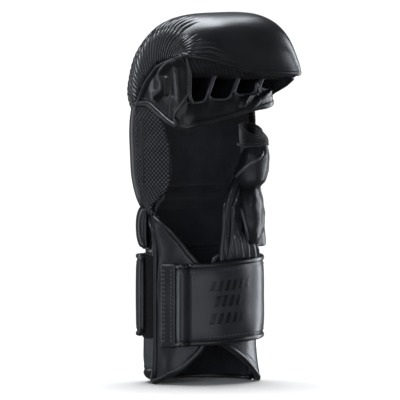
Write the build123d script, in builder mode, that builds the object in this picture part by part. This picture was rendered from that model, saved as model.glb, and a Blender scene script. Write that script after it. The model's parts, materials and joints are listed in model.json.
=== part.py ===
"""Right-hand open-palm sparring glove for mixed martial arts, standing on its cuff.

Millimetres. +Z runs from the cuff to the fingertips, -Y is the palm side, +Y the back of the
hand, and +X the thumb side. The origin is the centre of the wrist opening, in the plane that
the cuff stands on. Angles round the wrist are polar angles seen from above, 0 at +X.
"""
from build123d import *
from math import cos, radians, sin
import os

os.makedirs("parts", exist_ok=True)

# ---- driving dimensions ----
GAP = 0.1              # between layers that are sewn or glued face to face
BODY_GAP = 0.4         # between pieces that move against each other
LEATHER = 1.8
LINING = 1.4
BINDING = 3.6          # width of the rolled edge binding
PROUD = 0.6            # how far a binding stands out of the panel it edges
SEAM_ANGLE = 0.2       # between walls that meet end to end, in degrees
REACH = 90.0           # past every outline, for cutting

CUFF_INNER = (38.0, 30.0)      # half width and half depth of the wrist opening
CUFF_OUTER = (43.6, 35.6)
CUFF_TOP = 96.0
HEM_HEIGHT = 4.0
SHELL_DEPTH = 4.0              # from the wrist opening out to the cuff's shell
FLAP_DEPTH = 2.6               # from the wrist opening out to the flaps
CUFF_BACK = (-4.0, 184.0)      # angles between which the cuff is closed
PALM_MIDDLE = 250.0            # angle that divides the two flaps
FLAP_TIP_ANGLE = 172.0         # how far the little finger side flap wraps above the cuff
FLAP_TIP_TOP = 124.0
FLAP_BACK_X = -45.0            # past the little finger side flap's hidden edge

STRAP_HEIGHT = 60.0
STRAP_MIDDLE = 60.0            # height of the strap's middle over the origin
STRAP_SLOPE = 0.06             # rise towards the thumb side
STRAP_TAIL_MIDDLE = 62.5       # the last stretch climbs on towards its free end
STRAP_TAIL_SLOPE = -0.04
STRAP_INNER = (46.3, 38.3)
STRAP_OUTER = (49.0, 41.0)
STRAP_FOLD = 208.0             # angles: sewn fold, bend at the thumb side, bend at the back, end
STRAP_BEND_SIDE = 338.5
STRAP_BEND_BACK = 415.5
STRAP_END = 530.0
STRAP_SPLIT = 0.5              # half of the gap at each bend, in degrees
PATCH = 0.8                    # thickness of each half of the hook-and-loop fastening
LOOP_HEIGHT, HOOK_HEIGHT = 48.0, 44.0
LOOP_ANGLES = (59.5, 182.0)    # from under the strap's last stretch to past its free end
HOOK_MARGINS = (5.0, 3.0)      # angles that the hook patch leaves free at its two ends
ANCHOR_SPAN = 14.0             # angle that the strap's anchor patch covers
ANCHOR_PROUD = 2.4

HAND_OUTER = (52.0, 34.0)
HAND_CORNER = 26.0
HAND_INNER = (43.5, 15.0)
HAND_INNER_Y = -2.0
HAND_INNER_CORNER = 12.0
PAD_LOW, PAD_HIGH = 128.0, 195.5
COVER_EDGE_Y = 9.0             # where the leather cover meets the side gusset
LIP_LITTLE = (44.0, -16.0)     # |x| and y of each gusset's palm side end
LIP_INDEX = (47.5, 3.0)

WRIST_PAD_OUTER = (48.0, 38.0)
WRIST_PAD_INNER = (41.5, 29.0)
WRIST_PAD_ANGLES = (8.0, 171.0)
WRIST_PAD_GAPS = (2.5, 1.5)    # to the cuff below it and to the hand's pad above it

THENAR_OUTER = (44.0, 37.0)
THENAR_THICKNESS = 2.0
THENAR_TOP = 152.0
THENAR_SPAN = 60.0             # angle that holds the panel, from the flaps' divide

KNUCKLE_Y, KNUCKLE_Z = 22.0, 196.5   # axis of the knuckle flex, along X
FINGER_ARC = (-21.0, 200.0, 31.0)    # y, z and radius of the hollow over the fingers
FINGER_ARC_ANGLES = (107, 56, 5)     # from the fingertips to the knuckles
FINGERTIP_Z = 228.0
LINING_HALF = 44.0                   # half width of the pad's lining over the fingers
LINING_INSET = 9.0                   # from the pad's fingertip edge to the lining's edge
SIDE_PANEL_X = 48.4
PAD_FRONT, PAD_BACK, PAD_TOP = -63.0, 34.0, 269.5
PAD_SHOULDER = (19.0, 246.0)         # y and z on the side view's outline, back to front
PAD_TOP_Y = -20.0
PAD_BROW = (-50.0, 261.0)
PAD_BACK_Z, PAD_FRONT_Z = 203.5, 239.0
PAD_CORNER_FRONT = 42.0              # corner radii seen from the front and from above
PAD_CORNER_PLAN = 22.0
PAD_HALF_HEIGHT = 70.0               # of the front view's outline, which runs past the floor
PAD_FLOOR_CUT = 5.0                  # how far the cover's hollow runs past its floor
PAD_HOLLOW_LIFT = -12.0              # and past its finger side
BAND_OUTER = (47.6, 43.0)
BAND_THICKNESS = 2.2
BAND_HEIGHTS = (180.0, 218.0)
BAND_BACK_Y = -24.0
BAND_CORNER = 20.0
FINGER_PITCH = 23.6
FIRST_DIVIDER_X = -25.2
DIVIDER = 2.0
HOLE_HEIGHTS = (203, 204, 208, 212)  # of the band's rim at each finger

THUMB_AT = (31.5, -19.0)
THUMB_TURN = 52.0              # direction of the thumb section's long axis
THUMB_OUTER = (17.5, 13.5)
THUMB_INNER = (12.5, 9.0)
THUMB_LOOP = 1.4               # thickness of the elastic loop
THUMB_LOW, THUMB_CREASE, THUMB_SPLIT, THUMB_TOP = 106.0, 136.0, 176.0, 190.0


# ---- shared shapes ----
def save(piece, name):
    piece.part.label = name
    export_step(piece.part, f"parts/{name}.step")


def grown(size, amount):
    return (size[0] + amount, size[1] + amount)


def curved_wall(outer, inner, low, high, start, end):
    """Part of an upright elliptical tube, between two heights and two angles."""
    steps = 2 + int((end - start) / 30)
    rim = [radians(start + (end - start) * i / steps) for i in range(steps + 1)]
    with BuildPart() as wall:
        with BuildSketch(Plane.XY.offset(low)):
            Ellipse(*outer)
            Ellipse(*inner, mode=Mode.SUBTRACT)
            with BuildLine():
                Polyline((0, 0), *[(REACH * cos(a), REACH * sin(a)) for a in rim], close=True)
            make_face(mode=Mode.INTERSECT)
        extrude(amount=high - low)
    return wall


def front_outline(*outlines):
    """Outlines seen from the palm side, each from (x, z) points joined by straight lines."""
    with BuildSketch(Plane.XZ) as face:
        for points in outlines:
            with BuildLine():
                Polyline(*points, close=True)
            make_face()
    return face.sketch


def save_cut(wall, outline, name):
    """Trims an upright wall to an outline seen from the palm side, and writes it."""
    with BuildPart() as piece:
        add(wall.part)
        extrude(outline, amount=REACH, both=True, mode=Mode.INTERSECT)
    save(piece, name)


def edge_band(points):
    """The outer band of an outline, as wide as a binding."""
    with BuildSketch(Plane.XZ) as band:
        with BuildLine():
            Polyline(*points, close=True)
        make_face()
        offset(amount=-BINDING, kind=Kind.INTERSECTION, mode=Mode.SUBTRACT)
    return band.sketch


def inside_band(points):
    """What the band of an outline leaves free, a seam's gap smaller."""
    with BuildSketch(Plane.XZ) as inside:
        with BuildLine():
            Polyline(*points, close=True)
        make_face()
        offset(amount=-BINDING - GAP, kind=Kind.INTERSECTION, mode=Mode.REPLACE)
    return inside.sketch


# ---- cuff ----
def make_cuff():
    layers = {
        "cuff_lining": (0.0, LINING),
        "cuff_foam": (LINING + GAP, SHELL_DEPTH - GAP),
        "cuff_shell": (SHELL_DEPTH, CUFF_OUTER[0] - CUFF_INNER[0]),
    }
    for name, (inner, outer) in layers.items():
        save(
            curved_wall(
                grown(CUFF_INNER, outer), grown(CUFF_INNER, inner),
                HEM_HEIGHT + GAP, CUFF_TOP, *CUFF_BACK,
            ),
            name,
        )
    save(
        curved_wall(grown(CUFF_OUTER, PROUD), grown(CUFF_INNER, -PROUD), 0, HEM_HEIGHT, *CUFF_BACK),
        "cuff_hem",
    )
    save(
        curved_wall(
            grown(CUFF_OUTER, GAP + PATCH), grown(CUFF_OUTER, GAP),
            STRAP_MIDDLE - LOOP_HEIGHT / 2, STRAP_MIDDLE + LOOP_HEIGHT / 2,
            *LOOP_ANGLES,
        ),
        "loop_patch",
    )


def little_flap_wall(extra):
    """The wall that the little finger side flap is cut from: it wraps further above the cuff."""
    outer, inner = grown(CUFF_OUTER, extra), grown(CUFF_INNER, FLAP_DEPTH - extra)
    low = curved_wall(outer, inner, 0, CUFF_TOP + GAP, CUFF_BACK[1] + SEAM_ANGLE, PALM_MIDDLE)
    high = curved_wall(outer, inner, CUFF_TOP + GAP, FLAP_TIP_TOP, FLAP_TIP_ANGLE, PALM_MIDDLE)
    with BuildPart() as wall:
        add(low.part)
        add(high.part)
    return wall


def make_flaps():
    little = [
        (FLAP_BACK_X, 0), (-37, 0), (-30, 9), (-24, 27), (-24, 90), (-31, 106), (-41, 120),
        (FLAP_BACK_X, FLAP_TIP_TOP),
    ]
    save_cut(little_flap_wall(0), inside_band(little), "flap_little")
    save_cut(little_flap_wall(PROUD), edge_band(little), "flap_little_binding")

    past = -FLAP_BACK_X
    thumb = [(past, 0), (36, 0), (20, 14), (-5, 27), (-5, CUFF_TOP), (past, CUFF_TOP)]
    around = (0, CUFF_TOP, PALM_MIDDLE, CUFF_BACK[0] + 360 - SEAM_ANGLE)
    inner = grown(CUFF_INNER, FLAP_DEPTH)
    panel = curved_wall(CUFF_OUTER, inner, *around)
    edge = curved_wall(grown(CUFF_OUTER, PROUD), grown(inner, -PROUD), *around)
    save_cut(panel, inside_band(thumb), "flap_thumb")
    save_cut(edge, edge_band(thumb), "flap_thumb_binding")


# ---- strap ----
def strap_band(low, high, middle=STRAP_MIDDLE, slope=STRAP_SLOPE):
    """The strap's course seen from the front, between two distances from its middle line."""
    rise = slope * REACH
    return [
        (-REACH, middle + low - rise), (REACH, middle + low + rise),
        (REACH, middle + high + rise), (-REACH, middle + high - rise),
    ]


def strap_stretch(name, start, end, *course):
    """One stretch of the strap: its leather and the two bindings along its edges."""
    half = STRAP_HEIGHT / 2
    around = (0, STRAP_MIDDLE * 2, start, end)
    leather = curved_wall(STRAP_OUTER, STRAP_INNER, *around)
    inside = front_outline(strap_band(BINDING + GAP - half, half - BINDING - GAP, *course))
    save_cut(leather, inside, name)
    edge = curved_wall(grown(STRAP_OUTER, PROUD), grown(STRAP_INNER, -PROUD), *around)
    both_edges = front_outline(
        strap_band(-half, BINDING - half, *course), strap_band(half - BINDING, half, *course)
    )
    save_cut(edge, both_edges, name + "_bindings")


def make_strap():
    strap_stretch("strap_front", STRAP_FOLD, STRAP_BEND_SIDE - STRAP_SPLIT)
    strap_stretch("strap_side", STRAP_BEND_SIDE + STRAP_SPLIT, STRAP_BEND_BACK - STRAP_SPLIT)
    tail = (STRAP_TAIL_MIDDLE, STRAP_TAIL_SLOPE)
    strap_stretch("strap_end", STRAP_BEND_BACK + STRAP_SPLIT, STRAP_END, *tail)
    inside = grown(STRAP_INNER, -PROUD - GAP)
    save(
        curved_wall(
            inside, grown(inside, -PATCH),
            STRAP_TAIL_MIDDLE - HOOK_HEIGHT / 2, STRAP_TAIL_MIDDLE + HOOK_HEIGHT / 2,
            STRAP_BEND_BACK + HOOK_MARGINS[0], STRAP_END - HOOK_MARGINS[1],
        ),
        "hook_patch",
    )
    anchor = curved_wall(
        grown(CUFF_OUTER, ANCHOR_PROUD), grown(CUFF_OUTER, PROUD + GAP), 0, STRAP_MIDDLE * 2,
        STRAP_FOLD - ANCHOR_SPAN, STRAP_FOLD - 3 * SEAM_ANGLE,
    )
    half = STRAP_HEIGHT / 2
    save_cut(anchor, front_outline(strap_band(-half, half)), "strap_anchor")


# ---- padded back of the hand ----
def behind_gussets(inset):
    """The plan of what lies behind both gussets and their thickness."""
    with BuildSketch() as plan:
        with BuildLine():
            Polyline(
                (-REACH, REACH), (REACH, REACH), (REACH, COVER_EDGE_Y),
                (HAND_OUTER[0] - inset, COVER_EDGE_Y), (LIP_INDEX[0] - inset, LIP_INDEX[1]),
                (0, LIP_INDEX[1]), (0, LIP_LITTLE[1]), (inset - LIP_LITTLE[0], LIP_LITTLE[1]),
                (inset - HAND_OUTER[0], COVER_EDGE_Y), (-REACH, COVER_EDGE_Y), close=True,
            )
        make_face()
    return plan.sketch


def make_back_pad():
    width, depth = HAND_OUTER[0] * 2, HAND_OUTER[1] * 2
    height = PAD_HIGH - PAD_LOW
    hollow_width, hollow_depth = HAND_INNER[0] * 2, HAND_INNER[1] * 2
    skin = 2 * LEATHER

    with BuildPart() as cover:
        with BuildSketch(Plane.XY.offset(PAD_LOW)):
            RectangleRounded(width, depth, HAND_CORNER)
            RectangleRounded(width - skin, depth - skin, HAND_CORNER - LEATHER, mode=Mode.SUBTRACT)
            with Locations((0, COVER_EDGE_Y + GAP)):
                Rectangle(REACH * 2, REACH, align=(Align.CENTER, Align.MIN), mode=Mode.INTERSECT)
        extrude(amount=height)
    save(cover, "back_cover")

    seam = skin + 2 * GAP
    with BuildPart() as foam:
        with BuildSketch(Plane.XY.offset(PAD_LOW)):
            RectangleRounded(width - seam, depth - seam, HAND_CORNER - LEATHER)
            with Locations((0, HAND_INNER_Y)):
                RectangleRounded(
                    hollow_width + 2 * GAP, hollow_depth + 2 * GAP, HAND_INNER_CORNER,
                    mode=Mode.SUBTRACT,
                )
            add(behind_gussets(LEATHER + GAP), mode=Mode.INTERSECT)
        extrude(amount=height)
    save(foam, "back_foam")

    with BuildPart() as lining:
        with BuildSketch(Plane.XY.offset(PAD_LOW)):
            with Locations((0, HAND_INNER_Y)):
                RectangleRounded(hollow_width, hollow_depth, HAND_INNER_CORNER)
                RectangleRounded(
                    hollow_width - 2 * LINING, hollow_depth - 2 * LINING,
                    HAND_INNER_CORNER - LINING, mode=Mode.SUBTRACT,
                )
            add(behind_gussets(LEATHER + GAP), mode=Mode.INTERSECT)
        extrude(amount=height)
    save(lining, "back_lining")

    for name, lip, side in (("gusset_little", LIP_LITTLE, -1), ("gusset_index", LIP_INDEX, 1)):
        outside = [(side * HAND_OUTER[0], COVER_EDGE_Y), (side * lip[0], lip[1])]
        inside = [(x - side * LEATHER, y) for x, y in reversed(outside)]
        with BuildPart() as gusset:
            with BuildSketch(Plane.XY.offset(PAD_LOW)):
                with BuildLine():
                    Polyline(*outside, *inside, close=True)
                make_face()
            extrude(amount=height)
        save(gusset, name)


def make_wrist_pad():
    """The short pad over the back of the wrist, between the cuff and the hand's pad."""
    low, high = CUFF_TOP + WRIST_PAD_GAPS[0], PAD_LOW - WRIST_PAD_GAPS[1]
    skin = grown(WRIST_PAD_OUTER, -LEATHER)
    save(curved_wall(WRIST_PAD_OUTER, skin, low, high, *WRIST_PAD_ANGLES), "wrist_pad_cover")
    save(
        curved_wall(grown(skin, -GAP), WRIST_PAD_INNER, low, high, *WRIST_PAD_ANGLES),
        "wrist_pad_foam",
    )
    inside = grown(WRIST_PAD_INNER, -GAP)
    save(
        curved_wall(
            inside, grown(inside, -LINING), CUFF_TOP + GAP, PAD_LOW - GAP, *WRIST_PAD_ANGLES
        ),
        "wrist_lining",
    )


def make_thenar_panel():
    """Leather over the ball of the thumb, from the thumb side flap up the palm's edge."""
    outline = [
        (-5, CUFF_TOP + GAP), (18, CUFF_TOP + GAP), (16, 150), (9, 150), (2, 137), (-2, 120),
    ]
    around = (CUFF_TOP, THENAR_TOP, PALM_MIDDLE, PALM_MIDDLE + THENAR_SPAN)
    inner = grown(THENAR_OUTER, -THENAR_THICKNESS)
    panel = curved_wall(THENAR_OUTER, inner, *around)
    edge = curved_wall(grown(THENAR_OUTER, PROUD), grown(inner, -PROUD), *around)
    save_cut(panel, inside_band(outline), "thenar_panel")
    save_cut(edge, edge_band(outline), "thenar_panel_binding")


# ---- finger section ----
def finger_arc(lift):
    """Three points of the hollow over the fingers, from the fingertips to the knuckles."""
    y, z, radius = FINGER_ARC
    return [
        (y + (radius + lift) * cos(radians(a)), z + (radius + lift) * sin(radians(a)))
        for a in FINGER_ARC_ANGLES
    ]


def pad_block(inset, lift, floor):
    """The knuckle pad between its side view, front view and plan, above a floor.

    inset moves its outside in, and lift moves its finger side out.
    """
    hollow = finger_arc(lift)
    slant = inset * cos(radians(45))
    with BuildPart() as block:
        with BuildSketch(Plane.YZ):
            with BuildLine():
                back = ThreePointArc(
                    (PAD_BACK - inset, PAD_BACK_Z),
                    (PAD_SHOULDER[0] - slant, PAD_SHOULDER[1] - slant),
                    (PAD_TOP_Y, PAD_TOP - inset),
                )
                front = ThreePointArc(
                    back @ 1,
                    (PAD_BROW[0] + slant, PAD_BROW[1] - slant),
                    (PAD_FRONT + inset, PAD_FRONT_Z),
                )
                Polyline(front @ 1, (PAD_FRONT + 3 + inset, FINGERTIP_Z + lift), hollow[0])
                ThreePointArc(*hollow)
                Polyline(hollow[2], (hollow[2][0], floor), (KNUCKLE_Y, floor), back @ 0)
            make_face()
        extrude(amount=REACH, both=True)
        with BuildSketch(Plane.XZ):
            with Locations((0, PAD_TOP - PAD_HALF_HEIGHT)):
                RectangleRounded(
                    (HAND_OUTER[0] - inset) * 2, (PAD_HALF_HEIGHT - inset) * 2,
                    PAD_CORNER_FRONT - inset,
                )
        extrude(amount=REACH, both=True, mode=Mode.INTERSECT)
        with BuildSketch():
            with Locations((0, (PAD_FRONT + PAD_BACK) / 2)):
                RectangleRounded(
                    (HAND_OUTER[0] - inset) * 2, PAD_BACK - PAD_FRONT - inset * 2,
                    PAD_CORNER_PLAN - inset,
                )
        extrude(amount=REACH * 4, mode=Mode.INTERSECT)
    return block


def make_knuckle_pad():
    floor = KNUCKLE_Z + BODY_GAP
    with BuildPart() as cover:
        add(pad_block(0, 0, floor).part)
        add(pad_block(LEATHER, PAD_HOLLOW_LIFT, floor - PAD_FLOOR_CUT).part, mode=Mode.SUBTRACT)
    save(cover, "knuckle_cover")

    foam = pad_block(LEATHER + GAP, LINING + GAP, floor)
    save(foam, "knuckle_foam")

    near, far = finger_arc(0), finger_arc(LINING)
    tip_y = PAD_FRONT + LINING_INSET
    with BuildPart() as lining:
        with BuildSketch(Plane.YZ):
            with BuildLine():
                ThreePointArc(*near)
                Line(near[2], far[2])
                ThreePointArc(*far)
                Polyline(
                    far[0], (tip_y, FINGERTIP_Z + LINING), (tip_y, FINGERTIP_Z), near[0]
                )
            make_face()
        extrude(amount=LINING_HALF, both=True)
    save(lining, "knuckle_lining")


def make_side_panels():
    """The leather cheeks from the knuckle pad's side seams down to the palm band."""
    for name, side, rise in (("side_panel_little", -1, 0.0), ("side_panel_index", 1, 9.0)):
        with BuildPart() as panel:
            with BuildSketch(Plane.YZ.offset(side * SIDE_PANEL_X)):
                with BuildLine():
                    ThreePointArc(*finger_arc(-BODY_GAP))
                    Polyline(
                        finger_arc(-BODY_GAP)[2], (7, 200 + rise / 3), (-14, 192 + rise),
                        (-34, 186 + rise), (-40, 189 + rise), (-42, FINGERTIP_Z - 2),
                        finger_arc(-BODY_GAP)[0],
                    )
                make_face()
            extrude(amount=side * LEATHER)
        save(panel, name)


def band_wall(outer, thickness):
    """The upright wall over the fingers' palm side, flat in front with round corners."""
    low, high = BAND_HEIGHTS
    with BuildPart() as wall:
        with BuildSketch(Plane.XY.offset(low)):
            RectangleRounded(outer[0] * 2, outer[1] * 2, BAND_CORNER)
            inner = grown(outer, -thickness)
            RectangleRounded(
                inner[0] * 2, inner[1] * 2, BAND_CORNER - thickness, mode=Mode.SUBTRACT
            )
            with Locations((0, BAND_BACK_Y)):
                Rectangle(REACH * 2, REACH, align=(Align.CENTER, Align.MAX), mode=Mode.INTERSECT)
        extrude(amount=high - low)
    return wall


def make_palm_band():
    """The band over the fingers' palm side, its lower binding and its scalloped upper rim."""
    panel = band_wall(BAND_OUTER, BAND_THICKNESS)
    edge = band_wall(grown(BAND_OUTER, PROUD), BAND_THICKNESS + 2 * PROUD)
    lower = [(-49, 186), (-36, 186), (-15, 189), (8, 190), (24, 195), (49, 199)]
    upper = []
    for finger, height in enumerate(HOLE_HEIGHTS):
        left = FIRST_DIVIDER_X + (finger - 1) * FINGER_PITCH
        upper += [(left, height + 3), (left + 6, height), (left + 17, height)]
    upper.append((left + FINGER_PITCH, height + 3))
    rim = PROUD * 3

    def above(points, rise):
        return [(x, z + rise) for x, z in points]

    save_cut(panel, front_outline(above(lower, BINDING + GAP) + upper[::-1]), "palm_band")
    save_cut(edge, front_outline(lower + above(lower, BINDING)[::-1]), "palm_band_binding")
    save_cut(edge, front_outline(above(upper, GAP) + above(upper, rim)[::-1]), "finger_rim_binding")


def make_dividers():
    """Webs between the fingers, from the band's rim back to the pad's lining."""
    for number in range(3):
        with BuildPart() as web:
            x = FIRST_DIVIDER_X + number * FINGER_PITCH - DIVIDER / 2
            with BuildSketch(Plane.YZ.offset(x)):
                with BuildLine():
                    Polyline(
                        (-40.0, 197), (-40.0, 214), (-33, 227.8), (-18, 230), (-6, 224.5),
                        (-10, 212), (-24, 202), close=True,
                    )
                make_face()
            extrude(amount=DIVIDER)
        save(web, f"finger_divider_{number + 1}")


# ---- thumb ----
def save_thumb_tube(outer, inner, low, high, name):
    long_axis = (cos(radians(THUMB_TURN)), sin(radians(THUMB_TURN)), 0)
    with BuildPart() as tube:
        with BuildSketch(Plane((*THUMB_AT, low), x_dir=long_axis)):
            Ellipse(*outer)
            Ellipse(*inner, mode=Mode.SUBTRACT)
        extrude(amount=high - low)
    save(tube, name)


def make_thumb():
    inside = grown(THUMB_INNER, LINING)
    skin = grown(THUMB_OUTER, -LEATHER)
    sections = {
        "thumb_base": (THUMB_LOW, THUMB_CREASE - BODY_GAP),
        "thumb_tip": (THUMB_CREASE + BODY_GAP, THUMB_SPLIT),
    }
    for name, (low, high) in sections.items():
        save_thumb_tube(THUMB_OUTER, skin, low, high, name + "_cover")
        save_thumb_tube(grown(skin, -GAP), grown(inside, GAP), low, high, name + "_foam")
        save_thumb_tube(inside, THUMB_INNER, low, high, name + "_lining")
    save_thumb_tube(
        grown(inside, THUMB_LOOP), THUMB_INNER, THUMB_SPLIT + GAP, THUMB_TOP, "thumb_loop"
    )


make_cuff()
make_flaps()
make_strap()
make_back_pad()
make_wrist_pad()
make_thenar_panel()
make_knuckle_pad()
make_side_panels()
make_palm_band()
make_dividers()
make_thumb()
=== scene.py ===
"""Looks of the open-palm sparring glove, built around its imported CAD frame.

Blender 4.5. The helpers below take millimetres in the frame's own axes (+Z from the cuff to the
fingertips, -Y the palm side, +X the thumb side) and write meshes in metres.
"""
import json
import math

import bpy
import numpy as np
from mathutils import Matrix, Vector, noise


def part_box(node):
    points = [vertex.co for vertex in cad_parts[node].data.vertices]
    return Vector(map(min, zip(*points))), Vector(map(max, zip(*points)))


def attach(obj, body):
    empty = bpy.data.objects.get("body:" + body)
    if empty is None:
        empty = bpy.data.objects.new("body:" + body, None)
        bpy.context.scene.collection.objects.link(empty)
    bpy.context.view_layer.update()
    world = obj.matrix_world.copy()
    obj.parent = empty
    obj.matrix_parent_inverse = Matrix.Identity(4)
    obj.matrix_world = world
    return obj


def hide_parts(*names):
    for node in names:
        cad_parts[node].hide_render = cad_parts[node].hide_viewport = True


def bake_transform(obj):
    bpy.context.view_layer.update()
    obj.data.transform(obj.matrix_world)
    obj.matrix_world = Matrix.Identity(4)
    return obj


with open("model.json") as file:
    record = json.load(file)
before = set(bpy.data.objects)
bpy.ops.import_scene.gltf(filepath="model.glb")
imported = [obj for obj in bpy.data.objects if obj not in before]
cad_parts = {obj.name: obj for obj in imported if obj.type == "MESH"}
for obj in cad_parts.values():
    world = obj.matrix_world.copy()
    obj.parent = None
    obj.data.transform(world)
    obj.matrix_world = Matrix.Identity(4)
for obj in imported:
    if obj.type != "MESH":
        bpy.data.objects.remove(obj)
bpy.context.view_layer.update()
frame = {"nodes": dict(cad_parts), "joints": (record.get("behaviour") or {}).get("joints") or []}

MM = 0.001
TAU = 2 * math.pi

HAND = "hand_and_cuff"
STRAP_SIDE = "strap_side_stretch"
STRAP_END = "strap_end_stretch"
FINGERS = "finger_section"
THUMB_LOW = "thumb_lower"
THUMB_TIP = "thumb_upper"


def cad_box(node):
    """The lowest and highest corner of a CAD node, in millimetres."""
    low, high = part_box(node)
    return np.array(low) / MM, np.array(high) / MM


def joint_point(name):
    """A joint's place in millimetres."""
    found = next(j for j in frame["joints"] if j["name"] == name)
    return np.array(found["pos_m"]) / MM


# ---- curves and surfaces ----
def smooth_path(points, count, closed=False):
    """Catmull-Rom curve through a few points, sampled evenly along its length."""
    p = np.asarray(points, float)
    if closed:
        p = np.vstack([p[-1], p, p[0], p[1]])
    else:
        p = np.vstack([2 * p[0] - p[1], p, 2 * p[-1] - p[-2]])
    fine = []
    for a, b, c, d in zip(p[:-3], p[1:-2], p[2:-1], p[3:]):
        t = np.linspace(0, 1, 24, endpoint=False)[:, None]
        fine.append(
            0.5 * (2 * b + (c - a) * t + (2 * a - 5 * b + 4 * c - d) * t**2
                   + (3 * b - a - 3 * c + d) * t**3)
        )
    fine.append(p[-2][None])
    fine = np.vstack(fine)
    along = lengths(fine)
    even = np.linspace(0, along[-1], count, endpoint=not closed)
    return np.stack([np.interp(even, along, fine[:, k]) for k in range(p.shape[1])], 1)


def lengths(path):
    return np.concatenate([[0], np.cumsum(np.linalg.norm(np.diff(path, axis=0), axis=1))])


def through(keys, values, at):
    """Smooth values at new keys, from a few keyed ones."""
    keys, values = np.asarray(keys, float), np.asarray(values, float)
    order = np.argsort(keys)
    keys, values = keys[order], values[order]
    flat = values.reshape(len(keys), -1)
    at = np.clip(np.asarray(at, float), keys[0], keys[-1])
    slope = np.gradient(flat, keys, axis=0)
    i = np.clip(np.searchsorted(keys, at, side="right") - 1, 0, len(keys) - 2)
    h = (keys[i + 1] - keys[i])[:, None]
    t = ((at - keys[i])[:, None]) / h
    out = (
        (2 * t**3 - 3 * t**2 + 1) * flat[i] + (t**3 - 2 * t**2 + t) * h * slope[i]
        + (3 * t**2 - 2 * t**3) * flat[i + 1] + (t**3 - t**2) * h * slope[i + 1]
    )
    return out.reshape((len(at),) + values.shape[1:])


def step(low, high, x):
    t = np.clip((np.asarray(x, float) - low) / (high - low), 0, 1)
    return t * t * (3 - 2 * t)


def bump(x, centre, width):
    return np.exp(-(((x - centre) / width) ** 2))


def ease(count, bunch=0.6):
    """Numbers from 0 to 1, closer together at both ends."""
    t = np.linspace(0, 1, count)
    return (1 - bunch) * t + bunch * (0.5 - 0.5 * np.cos(math.pi * t))


def loft(heights, rows, at, across):
    """A surface through plan outlines: rows[k] is a list of (x, y) at heights[k]."""
    columns = through(heights, np.array(rows, float), at)
    grid = np.zeros((len(at), len(across), 3))
    for k, points in enumerate(columns):
        fine = smooth_path(points, 160)
        share = np.linspace(0, 1, len(fine))
        grid[k, :, 0] = np.interp(across, share, fine[:, 0])
        grid[k, :, 1] = np.interp(across, share, fine[:, 1])
        grid[k, :, 2] = at[k]
    return grid


def wavy(grid, size, seed):
    """Smooth uneven values over a grid of points, about -1 to 1, with lumps of a size in mm."""
    shift = Vector((seed * 17.3, seed * 5.1, seed * 9.7))
    flat = grid.reshape(-1, 3) / size
    return np.array([noise.noise(Vector(p) + shift) for p in flat]).reshape(grid.shape[:-1])


def normals_of(grid, around=False):
    """Unit normals of a grid of points, by the right-hand rule of its rows and columns."""
    if around:
        wide = np.concatenate([grid[:, -3:-1], grid, grid[:, 1:3]], 1)
        du, dv = np.gradient(wide, axis=0)[:, 2:-2], np.gradient(wide, axis=1)[:, 2:-2]
    else:
        du, dv = np.gradient(grid, axis=0), np.gradient(grid, axis=1)
    n = np.cross(du, dv)
    return n / np.maximum(np.linalg.norm(n, axis=2, keepdims=True), 1e-9)


# ---- meshes ----
def new_piece(name, verts, faces, material, uvs=None):
    """A smooth-shaded mesh object from millimetre points. uvs, in mm, are per point."""
    mesh = bpy.data.meshes.new(name)
    mesh.from_pydata((np.asarray(verts, float) * MM).tolist(), [], [tuple(map(int, f)) for f in faces])
    mesh.polygons.foreach_set("use_smooth", [True] * len(mesh.polygons))
    if uvs is not None:
        layer = mesh.uv_layers.new(name="mm")
        loop_verts = np.zeros(len(mesh.loops), int)
        mesh.loops.foreach_get("vertex_index", loop_verts)
        layer.data.foreach_set("uv", np.asarray(uvs, float)[loop_verts].ravel())
    mesh.materials.append(material)
    mesh.update()
    obj = bpy.data.objects.new(name, mesh)
    bpy.context.scene.collection.objects.link(obj)
    return obj


def place(obj, body, slot, *nodes):
    """Attaches a finished piece to the body it rides on when that is named, and hides the CAD nodes it stands
    for; a bend given as a tuple only bakes the piece's transform, and slot, its finish, is not used.
    """
    if nodes:
        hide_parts(*nodes)
    if isinstance(body, str):
        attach(obj, body)
    else:
        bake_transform(obj)
    return obj


def quads(rows, cols, close_cols=False, offset=0, flip=False):
    r, c = np.meshgrid(np.arange(rows - 1), np.arange(cols if close_cols else cols - 1), indexing="ij")
    n = (c + 1) % cols
    f = np.stack([r * cols + c, (r + 1) * cols + c, (r + 1) * cols + n, r * cols + n], -1)
    f = f.reshape(-1, 4) + offset
    return f[:, ::-1] if flip else f


def spans(grid):
    """Distances from a grid's first row and from its first column, in mm."""
    du = np.linalg.norm(np.diff(grid, axis=0), axis=2)
    dv = np.linalg.norm(np.diff(grid, axis=1), axis=2)
    u = np.concatenate([np.zeros((1, grid.shape[1])), np.cumsum(du, 0)], 0)
    v = np.concatenate([np.zeros((grid.shape[0], 1)), np.cumsum(dv, 1)], 1)
    return u, v


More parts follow.
